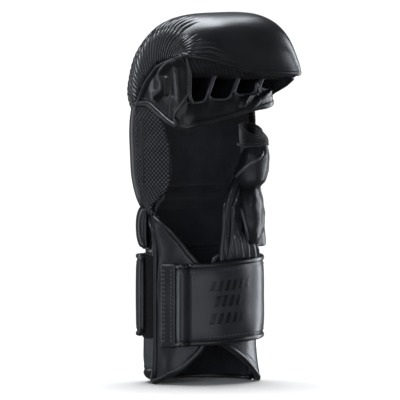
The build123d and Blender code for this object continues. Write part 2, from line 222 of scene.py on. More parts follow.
def panel(name, grid, thickness, material, rounding=None, fill=0.0, out=1):
    """A sheet of material with rounded edges, crowned outwards by fill mm in its middle.

    The grid is its mid surface, and out is the side (+1 or -1) that the crown stands on.
    """
    n = normals_of(grid) * out
    rounding = rounding or thickness
    u, v = spans(grid)
    near = np.minimum(np.minimum(u, u[-1:] - u), np.minimum(v, v[:, -1:] - v))
    edge = np.sqrt(np.maximum(0, 1 - (1 - np.clip(near / (rounding / 2), 0, 1)) ** 2))
    crown = 0.0
    if fill:
        reach = 2.2 * fill
        crown = fill * np.sqrt(np.maximum(0, 1 - (1 - np.clip(near / reach, 0, 1)) ** 2))
    top = grid + n * (edge * thickness / 2 + crown)[..., None]
    low = grid - n * (edge * thickness / 2)[..., None]
    rows, cols = grid.shape[:2]
    verts = np.vstack([top.reshape(-1, 3), low.reshape(-1, 3)])
    count = rows * cols
    faces = [quads(rows, cols, flip=out < 0), quads(rows, cols, offset=count, flip=out > 0)]
    verts_id = np.arange(count).reshape(rows, cols)
    border = np.concatenate([verts_id[0], verts_id[1:, -1], verts_id[-1, -2::-1], verts_id[-2:0:-1, 0]])
    remap = np.arange(2 * count)
    remap[border + count] = border
    faces = remap[np.vstack(faces)]
    middle = v.shape[1] // 2
    along_rows = u.mean(1, keepdims=True) + 0 * v
    uv = np.stack([along_rows.ravel(), (v - v[:, middle:middle + 1]).ravel()], 1)
    return welded(name, verts, faces, material, np.vstack([uv, uv]))


def welded(name, verts, faces, material, uvs):
    """Drops unused points and collapsed faces, then makes the piece."""
    clean = []
    for f in faces.tolist():
        g = [v for i, v in enumerate(f) if v != f[i - 1]]
        if len(set(g)) == len(g) >= 3:
            clean.append(g)
    used = sorted({v for f in clean for v in f})
    index = {v: i for i, v in enumerate(used)}
    return new_piece(name, verts[used], [[index[v] for v in f] for f in clean], material, uvs[used])


def tube(name, path, facing, width, height, material, closed=False, power=2.6, sides=14):
    """A rounded band along a path. facing is the outward normal at each point of the path."""
    verts, uvs = band_points(path, facing, width, height, closed, power, sides)
    rows = len(path)
    faces = quads(rows, sides, close_cols=True).tolist()
    if closed:
        last = (rows - 1) * sides
        faces += [[last + k, k, (k + 1) % sides, last + (k + 1) % sides] for k in range(sides)]
    else:
        faces += [list(range(sides)), list(range((rows - 1) * sides, rows * sides))[::-1]]
    return new_piece(name, verts, faces, material, uvs)


def band_points(path, facing, width, height, closed, power, sides):
    path, facing = np.asarray(path, float), np.asarray(facing, float)
    if closed:
        ahead, behind = np.roll(path, -1, 0), np.roll(path, 1, 0)
        tangent = ahead - behind
    else:
        tangent = np.gradient(path, axis=0)
    tangent /= np.linalg.norm(tangent, axis=1, keepdims=True)
    side = np.cross(tangent, facing)
    side /= np.linalg.norm(side, axis=1, keepdims=True)
    up = np.cross(side, tangent)
    a = np.arange(sides) * TAU / sides
    c, s = np.cos(a), np.sin(a)
    across = np.sign(c) * np.abs(c) ** (2 / power) * np.ones((len(path), 1)) * np.reshape(width, (-1, 1)) / 2
    above = np.sign(s) * np.abs(s) ** (2 / power) * np.ones((len(path), 1)) * np.reshape(height, (-1, 1)) / 2
    verts = path[:, None] + side[:, None] * across[..., None] + up[:, None] * above[..., None]
    uvs = np.stack([np.repeat(lengths(path), sides), across.ravel()], 1)
    return verts.reshape(-1, 3), uvs


def stitches(name, path, facing, material, thick=0.55):
    """A row of separate stitches along a path, each a short rounded thread."""
    path, facing = np.asarray(path, float), np.asarray(facing, float)
    pitch, long, sink = 3.0, 2.1, 0.1
    along = lengths(path)
    verts, faces = [], []
    rings = ((-0.5, 0.35), (-0.36, 0.9), (0.0, 1.0), (0.36, 0.9), (0.5, 0.35))
    for centre in np.arange(pitch, along[-1] - pitch / 2, pitch):
        at = np.array([np.interp(centre, along, path[:, k]) for k in range(3)])
        ahead = np.array([np.interp(centre + 0.4, along, path[:, k]) for k in range(3)])
        up = np.array([np.interp(centre, along, facing[:, k]) for k in range(3)])
        t = (ahead - at) / np.linalg.norm(ahead - at)
        side = np.cross(t, up)
        side /= np.linalg.norm(side)
        up = np.cross(side, t)
        base = len(verts)
        for share, fat in rings:
            lift = -sink - 0.35 * thick * (2 * share) ** 2
            for k in range(6):
                a = TAU * k / 6
                verts.append(at + t * share * long + side * (math.cos(a) * fat * thick / 2)
                             + up * (lift + math.sin(a) * fat * thick / 2))
        faces += (quads(5, 6, close_cols=True) + base).tolist()
        faces += [[base + k for k in range(6)], [base + 24 + k for k in range(5, -1, -1)]]
    return new_piece(name, np.array(verts), faces, material)


# ---- materials ----
def feed(node, inputs):
    """Sets a node's inputs by name: sockets are linked, anything else is a value."""
    for key, value in inputs.items():
        if isinstance(value, bpy.types.NodeSocket):
            node.id_data.links.new(value, node.inputs[key])
        else:
            node.inputs[key].default_value = value
    return node


class Look:
    """A procedural material. Patterns read the mm layer, and grain reads the place in mm."""

    def __init__(self, name, roughness, **sockets):
        self.material = bpy.data.materials.new(name)
        self.material.use_nodes = True
        self.tree = self.material.node_tree
        self.shader = self.tree.nodes["Principled BSDF"]
        self.shader.inputs["Roughness"].default_value = roughness
        for key, value in sockets.items():
            self.shader.inputs[key.replace("_", " ")].default_value = value
        place = self.add("TexCoord", {}).outputs["Object"]
        self.place = self.scaled(place, (1 / MM,) * 3)
        self.cloth = self.add("UVMap", {}, uv_map="mm").outputs["UV"]
        self.relief = None

    def add(self, kind, inputs, **settings):
        node = self.tree.nodes.new("ShaderNode" + kind)
        for key, value in settings.items():
            setattr(node, key, value)
        return feed(node, inputs)

    def scaled(self, vector, by, turn=0.0):
        node = self.add("Mapping", {"Vector": vector, "Scale": by, "Rotation": (0, 0, turn)})
        return node.outputs["Vector"]

    def noise(self, size, detail=3.0, rough=0.55, vector=None):
        vector = vector or self.place
        inputs = {"Vector": vector, "Scale": 1 / size, "Detail": detail, "Roughness": rough}
        return self.add("TexNoise", inputs).outputs["Fac"]

    def cells(self, size, vector=None, randomness=1.0):
        inputs = {"Vector": vector or self.place, "Scale": 1 / size, "Randomness": randomness}
        return self.add("TexVoronoi", inputs, feature="F1").outputs["Distance"]

    def waves(self, size, vector, distortion, direction="X"):
        """Parallel ridges, size mm apart."""
        inputs = {"Vector": vector, "Scale": TAU / (20 * size), "Distortion": distortion}
        settings = {"bands_direction": direction, "wave_profile": "SIN"}
        return self.add("TexWave", inputs, **settings).outputs["Fac"]

    def ramp(self, value, *stops):
        """Maps a value through (position, grey or colour) stops."""
        node = self.add("ValToRGB", {"Fac": value})
        band = node.color_ramp
        for i, (place, shade) in enumerate(stops):
            stop = band.elements[i] if i < 2 else band.elements.new(place)
            stop.position = place
            stop.color = (*shade, 1) if isinstance(shade, tuple) else (shade, shade, shade, 1)
        return node.outputs["Color"]

    def maths(self, operation, a, b=0.0):
        node = self.tree.nodes.new("ShaderNodeMath")
        node.operation = operation
        for socket, value in zip(node.inputs, (a, b)):
            if isinstance(value, bpy.types.NodeSocket):
                self.tree.links.new(value, socket)
            else:
                socket.default_value = value
        return node.outputs[0]

    def mixed(self, share, a, b, blend="MIX"):
        node = self.add("MixRGB", {"Fac": share, "Color1": a, "Color2": b}, blend_type=blend)
        return node.outputs["Color"]

    def bump(self, height, depth, strength=1.0, invert=False):
        """Adds relief, depth mm high between height 0 and 1."""
        inputs = {"Height": height, "Strength": strength, "Distance": depth * MM}
        if self.relief:
            inputs["Normal"] = self.relief
        self.relief = self.add("Bump", inputs, invert=invert).outputs["Normal"]
        feed(self.shader, {"Normal": self.relief})

    def colour(self, socket):
        feed(self.shader, {"Base Color": socket})

    def gloss(self, socket):
        feed(self.shader, {"Roughness": socket})


def leather(name, dark, light, gloss, grain, depth, coat=0.0, creases=0.0):
    """Coated leather: pebbled grain, fine pores, cloudy gloss and rubbed colour."""
    look = Look(name, 0.45, Specular_IOR_Level=0.4, Coat_Weight=coat, Coat_Roughness=0.22)
    clouds = look.noise(14.0, 3)
    look.colour(look.ramp(clouds, (0.3, dark), (0.72, light)))
    rubbed = look.noise(5.0, 5, 0.65)
    look.gloss(look.ramp(rubbed, (0.3, gloss[0]), (0.7, gloss[1])))
    warped = look.mixed(0.06, look.place, look.add("TexNoise", {
        "Vector": look.place, "Scale": 0.35, "Detail": 2.0}).outputs["Color"], "ADD")
    pebbles = look.cells(grain, warped)
    look.bump(pebbles, depth, 0.55, invert=True)
    look.bump(look.noise(grain * 0.35, 4, 0.6), depth * 0.6, 0.4)
    if creases:
        folds = look.ramp(look.noise(7.0, 4, 0.5), (0.42, 0.0), (0.5, 1.0), (0.58, 0.0))
        look.bump(folds, creases, 0.35, invert=True)
    return look.material


def perforated(name, base, painted_rim_highlight, gloss, pitch, hole, depth):
    """Leather or mesh with round holes on a diagonal grid, painted rather than cut: a painted highlight on
    each hole's rim and painted shade inside each hole.
    """
    look = Look(name, 0.5, Specular_IOR_Level=0.3)
    grid = look.scaled(look.cloth, (1, 1, 1), math.pi / 4)
    dots = look.cells(pitch, grid, 0.0)
    # rim: the ring round each hole that takes the lighter colour, a painted highlight
    rim = look.ramp(dots, (hole * 0.75, 0.0), (hole, 1.0), (hole * 1.45, 0.0))
    # inside: dark in the middle of each hole, painted shade in the opening
    inside = look.ramp(dots, (hole * 0.7, 0.0), (hole * 0.95, 1.0))
    cloud = look.ramp(look.noise(9.0, 3), (0.3, 0.75), (0.7, 1.25))
    shade = look.mixed(rim, base + (1,), painted_rim_highlight + (1,))
    look.colour(look.mixed(1.0, look.mixed(1.0, shade, cloud, "MULTIPLY"), inside, "MULTIPLY"))
    look.gloss(look.ramp(look.noise(4.0, 4), (0.3, gloss[0]), (0.7, gloss[1])))
    look.bump(inside, depth, 0.8)
    look.bump(look.noise(0.7, 3), depth * 0.25, 0.35)
    return look.material


def woven(name, dark, light, pitch, depth, rough=0.85, sheen=0.25, turn=0.0, rib=0.35):
    """Cloth with crossed threads: strong ribs one way and finer ones the other."""
    look = Look(name, rough, Specular_IOR_Level=0.2, Sheen_Weight=sheen, Sheen_Roughness=0.45)
    thread = look.scaled(look.cloth, (1, 1, 1), turn)
    warp = look.waves(pitch, thread, 0.4)
    weft = look.waves(pitch * 0.8, thread, 0.4, "Y")
    crossed = look.maths("MULTIPLY", warp, look.maths("ADD", look.maths("MULTIPLY", weft, rib), 1 - rib))
    tone = look.maths("MULTIPLY", crossed, look.ramp(look.noise(11.0, 4), (0.25, 0.6), (0.75, 1.0)))
    look.colour(look.ramp(tone, (0.1, dark), (0.85, light)))
    look.bump(crossed, depth, 0.7)
    look.bump(look.noise(0.4, 2), depth * 0.4, 0.4)
    return look.material


def pile(name, dark, light):
    """Loop pile: soft tangled fibres."""
    look = Look(name, 0.95, Specular_IOR_Level=0.08, Sheen_Weight=0.03, Sheen_Roughness=0.6)
    fibres = look.noise(0.6, 6, 0.75)
    look.colour(look.ramp(fibres, (0.35, dark), (0.7, light)))
    look.bump(fibres, 0.5, 0.9)
    look.bump(look.cells(1.3), 0.4, 0.6, invert=True)
    return look.material


COVER = leather("cover_leather", (0.005, 0.0053, 0.0065), (0.008, 0.0085, 0.0105), (0.28, 0.34), 1.1, 0.045,
                0.15)
PANEL = leather("panel_leather", (0.0022, 0.0024, 0.0032), (0.0045, 0.0048, 0.0061), (0.28, 0.38), 1.0, 0.08,
                0.15, 0.15)
STRAP = leather("strap_leather", (0.011, 0.012, 0.0148), (0.017, 0.0185, 0.0228), (0.3, 0.4), 0.9, 0.06, 0.15)
THUMB = leather("thumb_leather", (0.006, 0.0064, 0.0078), (0.01, 0.0106, 0.013), (0.36, 0.47), 1.1, 0.05,
                0.1, 0.1)
# A lighter copy of the piping leather, a painted highlight, for the finger slot rims, the web edges and the
# thumb seams.
RIM_PAINTED_HIGHLIGHT = leather("rim_leather_painted_highlight", (0.022, 0.0235, 0.028), (0.036, 0.038, 0.045), (0.28, 0.36), 0.7, 0.05, 0.3)
PIPING = leather("piping_leather", (0.004, 0.0043, 0.0054), (0.0085, 0.009, 0.011), (0.28, 0.4), 0.7, 0.05,
                 0.3)
# The second colour of each perforated look is the painted highlight on its hole rims.
GUSSET = perforated("gusset_leather", (0.0022, 0.0024, 0.0032), (0.15, 0.158, 0.18), (0.62, 0.72), 2.3, 0.2,
                    0.3)
HOLED = perforated("holed_lining", (0.003, 0.0032, 0.004), (0.05, 0.053, 0.061), (0.55, 0.65), 2.6, 0.22, 0.2)
MESH = perforated("cuff_mesh", (0.03, 0.034, 0.044), (0.075, 0.081, 0.096), (0.5, 0.62), 2.1, 0.28, 0.3)
LINING = woven("ribbed_lining", (0.004, 0.0042, 0.0054), (0.036, 0.0378, 0.0455), 1.25, 0.25, sheen=0.08,
               turn=0.6)
ELASTIC = woven("woven_elastic", (0.002, 0.0021, 0.0027), (0.017, 0.0176, 0.021), 1.5, 0.4, rib=0.6)
LOOP = pile("loop_pile", (0.0015, 0.0015, 0.002), (0.006, 0.0062, 0.0075))
HOOK = pile("hook_tape", (0.004, 0.004, 0.0046), (0.014, 0.0145, 0.017))
THREAD = woven("thread", (0.06, 0.063, 0.072), (0.18, 0.187, 0.21), 0.5, 0.08, 0.45, 0.0)


# ---- shared outlines, from the frame ----
WRIST = (38.0, 30.0)           # half width and half depth of the cuff's inside
CUFF = (43.6, 35.6)            # and of its outside
STRAP_RING = (47.65, 39.65)    # and of the middle of the strap
CUFF_START, CUFF_END = -14.0, 184.0
STRAP_Z = 60.0
CUFF_TOP = cad_box("cuff_shell")[1][2]
HALF_WIDTH = cad_box("back_cover")[1][0]
BACK_DEPTH = cad_box("back_cover")[1][1]

CREASE = np.array([0.0, 22.0, 193.6])       # middle of the fold between hand and finger section
ACROSS_CREASE = np.array([0.0, -0.199, 0.980])
KNUCKLES = (HAND, FINGERS, CREASE - 4 * ACROSS_CREASE, CREASE + 10 * ACROSS_CREASE)


def ring(size, degrees, z):
    """Points on an upright ellipse, by its parameter angle in degrees."""
    a = np.radians(degrees)
    a, z = np.broadcast_arrays(a, z)
    return np.stack([size[0] * np.cos(a), size[1] * np.sin(a), z], -1)


def ring_normal(size, degrees):
    a = np.radians(degrees)
    n = np.stack([np.cos(a) / size[0], np.sin(a) / size[1], 0 * a], -1)
    return n / np.linalg.norm(n, axis=-1, keepdims=True)


def parameter(size, polar):
    """The ellipse parameter angle of a polar angle, both in degrees."""
    a = np.radians(polar)
    t = np.degrees(np.arctan2(np.sin(a) / size[1], np.cos(a) / size[0]))
    return t + 360 * np.round((polar - t) / 360)


def grown(size, amount):
    return (size[0] + amount, size[1] + amount)


def flap(name, size, top, bottom, start, end, thickness, material, fill=0.0, waviness=0.0):
    """A curved panel on an upright ellipse.

    start and end give the parameter angle at each height, as (heights, angles).
    """
    z = bottom + (top - bottom) * ease(90, 0.35)
    left = through(*start, z)
    right = through(*end, z)
    share = ease(70, 0.45)
    angle = left[:, None] + (right - left)[:, None] * share
    grid = ring(size, angle, z[:, None])
    if waviness:
        lumps = wavy(grid * np.array([1.0, 1.0, 0.45]), 11.0, len(name))
        grid += ring_normal(size, angle) * (waviness * lumps)[..., None]
    return panel(name, grid, thickness, material, thickness * 1.6, fill)


# ---- cuff ----
def cuff():
    angles = np.linspace(-14, 186, 124)
    hem = hem_height(angles)[None, :]
    z = hem + 0.7 + (CUFF_TOP + 2.3 - hem) * np.linspace(0, 1, 70)[:, None]
    inner = ring(grown(WRIST, 0.9), angles[None, :], z)
    inner += ring_normal(WRIST, angles)[None] * (0.35 * wavy(inner, 13.0, 3))[..., None]
    lining = panel("cuff_inside", inner[:, ::-1], 1.5, LINING, out=-1)
    place(lining, HAND, "lining", "cuff_lining")

    z = hem + 0.3 + (CUFF_TOP - 0.8 - hem) * np.linspace(0, 1, 70)[:, None]
    shell = ring(grown(CUFF, -2.0), angles[None, :], z)
    puff = 0.9 * np.sin(np.clip((z - hem) / 31, 0, 1) * math.pi) ** 0.7
    shell += ring_normal(CUFF, angles)[None] * (puff + 0.3 * wavy(shell, 12.0, 5))[..., None]
    body = panel("cuff_outside", shell, 3.2, MESH)
    place(body, HAND, "perforated", "cuff_shell", "cuff_foam")

    around = np.linspace(CUFF_START, CUFF_END, 110)
    rim = ring(grown(WRIST, 2.9), around, hem_height(around))
    down = np.tile([0.0, 0.0, -1.0], (len(rim), 1))
    roll = tube("cuff_rolled_hem", rim, down, 6.2, 4.2, PIPING, power=2.2)
    place(roll, HAND, "binding", "cuff_hem")
    seam = ring(grown(CUFF, 0.1), around, 4.3 + hem_height(around))
    place(stitches("hem_stitches", seam, ring_normal(CUFF, around), THREAD), HAND, "binding")

    z = np.linspace(STRAP_Z - 27, STRAP_Z + 34, 70)
    angles = np.linspace(60, 184, 100)
    fuzz = ring(grown(CUFF, 0.7), angles[None, :], z[:, None])
    fuzz += ring_normal(CUFF, angles)[None] * (0.12 * wavy(fuzz, 1.6, 9))[..., None]
    place(panel("loop_patch_pile", fuzz, 1.3, LOOP), HAND, "loop", "loop_patch")


def hem_height(angle):
    """Height of the cuff's rolled lower edge, which climbs at the little finger side."""
    return 2.3 + 7.6 * step(115, 168, angle)


def corner_flare(angle, z):
    """How far the thumb flap's lower corner stands off the cuff."""
    return 3.0 * step(30, 0, z) * step(300, 340, angle)


def flaps():
    """The two palm side flaps: leather panels with rolled bindings and stitching."""
    tip, middle = 126.0, 60.0
    free = ((0, 2.2, 5.8, 11.6, 18.2, 27, 45, 75, 90.3, 96, 103.4, 112, 119, tip),
            (176, 183, 199, 216.5, 227, 238.5, 250, 248, 232, 225, 216.5, 203, 188, 166))
    left = ((0, 3, 12, 60, 104, 115, 122, tip), (172, 178, 182, 183, 182, 174, 168, 163))
    heights = np.array(free[0][1:-1])
    cloth = flap("little_flap", grown(WRIST, 3.7), tip - 1.5, 1.5, left,
                 (free[0], np.array(free[1]) - 1.0), 2.4, STRAP, 1.0, 1.9)
    place(cloth, HAND, "panel_leather", "flap_little")
    outline_z = np.concatenate([heights, [tip - 1, 118, 104, middle, 14, 4]])
    outline_t = np.concatenate([free[1][1:-1], [167, 171, 182, 183, 182, 179]])
    loop = smooth_path(np.stack([outline_t, outline_z], 1), 260, closed=True)
    points = ring(grown(WRIST, 4.6), loop[:, 0], loop[:, 1])
    trim = tube("little_flap_piping", points, ring_normal(WRIST, loop[:, 0]), 4.2, 4.4, PIPING, closed=True)
    place(trim, HAND, "binding", "flap_little_binding")
    inside = np.array(free[1][2:-1]) - 5.2
    row = smooth_path(np.stack([inside, heights[1:] + 0.4], 1), 120)
    seam = stitches("little_flap_stitches", ring(grown(WRIST, 6.3), row[:, 0], row[:, 1]),
                    ring_normal(WRIST, row[:, 0]), THREAD)
    place(seam, HAND, "binding")

    free = ((0, 4, 9, 14, 19, 24, 28.4, 33, 60, CUFF_TOP), (334, 327, 314, 301, 288, 276, 266, 260, 257, 258))
    hidden = ((0, 48, CUFF_TOP), (352, 357, 357))
    z = ease(80, 0.35) * (CUFF_TOP - 0.8) + 0.8
    start, end = through(*free, z) + 0.8, through(*hidden, z)
    angle = start[:, None] + (end - start)[:, None] * ease(70, 0.4)
    flare = corner_flare(angle, z[:, None])
    grid = ring(grown(WRIST, 4.3), angle, z[:, None])
    grid += ring_normal(WRIST, angle) * (flare + 0.5 * wavy(grid, 15.0, 2))[..., None]
    place(panel("thumb_flap", grid, 2.8, STRAP, 4.5), HAND, "panel_leather", "flap_thumb")
    corner = [(351, 90), (356, 48), (354, 8), (347, 2.2)]
    line = np.array(list(zip(free[1], free[0])))[::-1]
    line[:, 1] = np.clip(line[:, 1], 2.2, CUFF_TOP - 2)
    loop = smooth_path(np.vstack([line, corner[::-1]]), 260, closed=True)
    points = ring(grown(WRIST, 4.6), loop[:, 0], loop[:, 1])
    points += ring_normal(WRIST, loop[:, 0]) * corner_flare(loop[:, 0], loop[:, 1])[:, None]
    trim = tube("thumb_flap_piping", points, ring_normal(WRIST, loop[:, 0]), 4.0, 4.0, PIPING, closed=True)
    place(trim, HAND, "binding", "flap_thumb_binding")
    row = smooth_path(np.stack([np.array(free[1][:7]) + 4.6, np.array(free[0][:7]) + 3.2], 1), 80)
    facing = ring_normal(WRIST, row[:, 0])
    seam = ring(grown(WRIST, 5.9), row[:, 0], row[:, 1])
    seam = seam + facing * corner_flare(row[:, 0], row[:, 1])[:, None]
    place(stitches("thumb_flap_stitches", seam, facing, THREAD), HAND, "binding")


# ---- strap ----
STRAP_HALF = 30.0
SIDE_BEND = joint_point("strap_side_peel")
BACK_BEND = joint_point("strap_end_peel")
SIDE_COURSE = np.array([0.45, 0.89, 0.0])      # the strap's direction at each bend
BACK_COURSE = np.array([-0.9, 0.436, 0.0])
AT_SIDE = (HAND, STRAP_SIDE, SIDE_BEND - 5 * SIDE_COURSE, SIDE_BEND + 5 * SIDE_COURSE)
AT_BACK = (STRAP_SIDE, STRAP_END, BACK_BEND - 5 * BACK_COURSE, BACK_BEND + 5 * BACK_COURSE)


def on_strap(angle, height, proud=0.0):
    """A point of the strap, from its ring angle and its distance above the middle line."""
    angle, height = np.broadcast_arrays(np.asarray(angle, float), np.asarray(height, float))
    fold = 3.9 * bump(angle, 220.6, 2.9) - 2.4 * bump(angle, 213.6, 2.2) - 1.3 * bump(angle, 226.4, 2.0)
    point = ring(STRAP_RING, angle, 0 * angle)
    point += ring_normal(STRAP_RING, angle) * (fold + proud)[..., None]
    point[..., 2] = strap_middle(angle) + height
    return point


def strap_middle(angle):
    """Height of the strap's middle line, which climbs slowly as it wraps round."""
    flat = np.ravel(angle)
    z = through((195, 212, 290, 352, 415, 470, 530), (57.4, 57.8, 61.0, 63.0, 62.4, 63.2, 64.6), flat)
    return z.reshape(np.shape(angle))


def strap_line(name, angles, heights, bend):
    """A rolled edge along the strap through a few (angle, height) points."""
    facing = ring_normal(STRAP_RING, angles)
    return place(tube(name, on_strap(angles, heights), facing, 3.7, 4.0, PIPING), bend, "binding")


def strap_stitches(name, angles, heights, bend):
    points = on_strap(angles, heights, 1.5)
    place(stitches(name, points, ring_normal(STRAP_RING, angles), THREAD, thick=0.8), bend, "binding")


def strap():
    """Root to side bend to back seam, then on round the back to the free end."""
    root, seam, end = parameter(STRAP_RING, 211.5) - 1, parameter(STRAP_RING, 377), parameter(STRAP_RING, 529)
    stretches = (
        ("strap_root", root, seam, AT_SIDE, ("strap_front", "strap_side"),
         ("strap_front_bindings", "strap_side_bindings")),
        ("strap_tail", seam, end, AT_BACK, ("strap_end",), ("strap_end_bindings",)),
    )
    for name, first, last, bend, leathers, edges in stretches:
        height = (STRAP_HALF - 1.2) * np.linspace(-1, 1, 60)
        count = int((last - first) * 2.2)
        angle = first + (last - first) * np.linspace(0, 1, count)
        grid = on_strap(angle[None, :], height[:, None])
        puff = 1.3 * (1 - np.minimum(1, np.abs(height) / (STRAP_HALF - 3.4)) ** 9)
        puff = puff[:, None] * (1 + 0 * angle) + 0.35 * wavy(grid, 17.0, 6)
        grid += ring_normal(STRAP_RING, angle)[None] * (puff - 0.7)[..., None]
        place(panel(name, grid, 2.7, STRAP, 1.6), bend, "strap_leather", *leathers)

        line = np.linspace(first, last, count)
        edge = np.full(count, STRAP_HALF - 1.9)
        if name == "strap_tail":
            corner = 6.0
            turn = np.radians(np.linspace(90, -90, 25))
            reach = np.degrees(corner / STRAP_RING[0])
            stop = line <= last - reach
            angles = np.concatenate([line[stop], last - reach + reach * np.cos(turn), line[stop][::-1]])
            rise = edge[0] - corner
            bend_z = rise * np.sign(np.sin(turn)) * (np.abs(np.sin(turn)) > 0.02) + corner * np.sin(turn)
            heights = np.concatenate([edge[stop], bend_z, -edge[stop]])
            rim = strap_line(name + "_edge", angles, heights, bend)
            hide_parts(*edges)
            inset = 4.2
            strap_stitches(name + "_edge_stitches", angles - inset * 1.1 * (angles > last - reach),
                           heights * (1 - inset / edge[0]), bend)
        else:
            for sign, word in ((1, "upper"), (-1, "lower")):
                rim = strap_line(f"{name}_{word}_edge", line, sign * edge, bend)
                if sign > 0:
                    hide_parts(*edges)
                strap_stitches(f"{name}_{word}_stitches", line, sign * (edge - 4.2), bend)
    embossing()
    anchor()


def embossing():
    """Three rows of plain slanted bars pressed into the strap's front."""
    bars = 0
    for middle, first, count in ((13.0, 246.0, 6), (1.5, 250.0, 4), (-11.0, 246.0, 6)):
        for k in range(count):
            start = first + 7.2 * k
            v = np.linspace(-1, 1, 12)
            angle = start + 4.6 * np.linspace(0, 1, 14)[None, :] + 1.6 * v[:, None]
            grid = on_strap(angle, middle + 3.9 * v[:, None] + 0 * angle, 1.78)
            bars += 1
            bar = panel(f"strap_bar_{bars}", grid, 0.6, PANEL, 0.8)
            place(bar, HAND, "strap_leather")


def anchor():
    """The patch that the strap is sewn to, with double rows of stitching."""
    angle = np.linspace(195.5, 213, 40)
    height = (STRAP_HALF + 0.5) * np.linspace(-1, 1, 60)
    base = ring(grown(CUFF, 1.7), angle[None, :] + 0 * height[:, None], 0)
    base[..., 2] = strap_middle(base[..., 0] * 0 + angle[None, :]) + height[:, None]
    place(panel("strap_anchor_patch", base, 2.0, STRAP, 3.0), HAND, "strap_leather", "strap_anchor")
    for at in (197.6, 200.4, 208.2):
        row = base[2:-2, int((at - 195.5) / 17.5 * 39)]
        facing = np.tile(ring_normal(CUFF, np.array([at])), (len(row), 1))
        place(stitches(f"anchor_stitches_{at:.0f}", row + facing * 1.05, facing, THREAD, thick=1.2), HAND,
              "binding")


# ---- padded back of the hand ----
COVER_EDGE = ((104, 112, 120, 128, 136, 151, 170, 204),          # heights
              ((-43.5, 5), (-43.5, 6), (-43.5, 7), (-43.8, 8), (-47, 8.5), (-50.8, 9), (-52, 9), (-51.6, 9)))
PALM_LIP = ((98, 103, 110, 117, 124, 130, 136, 143, 150, 169, 190, 203),
            ((-31, -24), (-35.5, -20), (-40.5, -12), (-42.5, -8), (-45, -4), (-46, -3), (-45, -10),
             (-43.4, -17.7), (-43, -19), (-42.9, -19.5), (-44.8, -13.5), (-46.8, -7)))


def back_of_hand():
    """The leather cover from side seam to side seam, softly crowned, pulled in over the wrist."""
    z = np.linspace(126.5, 202.0, 90)
    theta = np.radians(np.linspace(-6, 186, 150))
    scale = through((126, 128.5, 133, 140, 151, 170, 192, 198, 203),
                    (0.80, 0.845, 0.89, 0.935, 0.98, 1.0, 1.0, 0.985, 0.965), z)[:, None]
    power = 2 / 2.9
    c, s = np.cos(theta), np.sin(theta)
    x = (HALF_WIDTH - 1.0) * np.sign(c) * np.abs(c) ** power * scale
    y = (BACK_DEPTH - 1.0) * np.abs(s) ** power * scale * np.sign(s) + 9.0 * (1 - np.abs(s)) ** 3
    grid = np.stack([x, y, np.broadcast_to(z[:, None], x.shape)], -1)
    n = normals_of(grid)
    gather = pleats(z[:, None] + 0 * x, 2.6, grid, 11)[0]
    gather = gather * step(0.62, 0.0, np.abs(s))[None, :] * step(172, 198, z)[:, None]
    grid = grid - n * (0.7 * gather)[..., None] + n * (0.35 * wavy(grid, 24.0, 12))[..., None]
    cover = panel("back_leather", grid, 2.4, COVER)
    place(cover, KNUCKLES, "leather", "back_cover", "back_foam")
    for side in (-1, 1):
        z = np.linspace(131, 201, 60)
        edge = through(*COVER_EDGE, z)
        x, y = (edge[:, 0] + 0.5) * -side, edge[:, 1] - 0.2
        path = np.stack([x, y, z], 1)
        facing = np.tile([side * 0.93, -0.36, 0.0], (len(z), 1))
        seam = tube(f"back_side_seam_{'little' if side < 0 else 'index'}", path, facing, 1.6, 1.4, PIPING)
        place(seam, KNUCKLES, "leather")


def pleats(along, pitch, grid, seed):
    """Gathered pleats with sharp valleys and round ridges.

    Gives their depth, 0 to 1, and each pleat's own chance, also 0 to 1.
    """
    drift = 1.9 * wavy(grid * np.array([1.0, 1.0, 0.5]), 17.0, seed) + 0.2 * wavy(grid, 8.0, seed + 2)
    phase = along / pitch + drift / math.pi
    number = np.round(phase)
    chance = np.mod(np.sin(number * 12.9898 + seed) * 437.585, 1.0)
    wave = np.abs(np.sin(math.pi * phase))
    uneven = 0.55 + 0.45 * np.mod(chance * 7.0, 1.0) + 0.1 * wavy(grid, 12.0, seed + 1)
    return (1 - wave ** 0.7) * uneven, chance


def gussets():
    """Perforated side walls from the cover's edge in to the palm side lip."""
    z = np.linspace(104, 203, 110)
    edge, lip = through(*COVER_EDGE, z), through(*PALM_LIP, z)
    share = np.linspace(0, 1, 50)[None, :]
    middle = 0.5 * (edge + lip) + np.stack([-2.6 * np.ones(len(z)), -2.0 * np.ones(len(z))], 1)
    t = share[..., None]
    plan = (1 - t) ** 2 * edge[:, None] + 2 * t * (1 - t) * middle[:, None] + t ** 2 * lip[:, None]
    grid = np.concatenate([plan, np.broadcast_to(z[:, None, None], plan.shape[:2] + (1,))], -1)
    grid[..., 0] += 3.4 * step(127, 119, z)[:, None]
    grid += normals_of(grid) * (0.5 * wavy(grid, 15.0, 21))[..., None]
    place(panel("gusset_little_leather", grid, 2.0, GUSSET), KNUCKLES, "perforated", "gusset_little")

    low, out, inner = 128.0, (HALF_WIDTH - 1.0, 9.0), (46.8, 3.0)
    z = np.linspace(low, 203, 60)
    x = out[0] + (inner[0] - out[0]) * share
    y = out[1] + (inner[1] - out[1]) * share
    scale = through((126, 133, 140, 151, 170, 204), (0.86, 0.90, 0.94, 0.98, 1.0, 1.0), z)[:, None]
    grid = np.stack([x * scale, y + 0 * scale, z[:, None] + 0 * x], -1)
    place(panel("gusset_index_leather", grid, 1.8, GUSSET, out=-1), KNUCKLES, "perforated", "gusset_index")


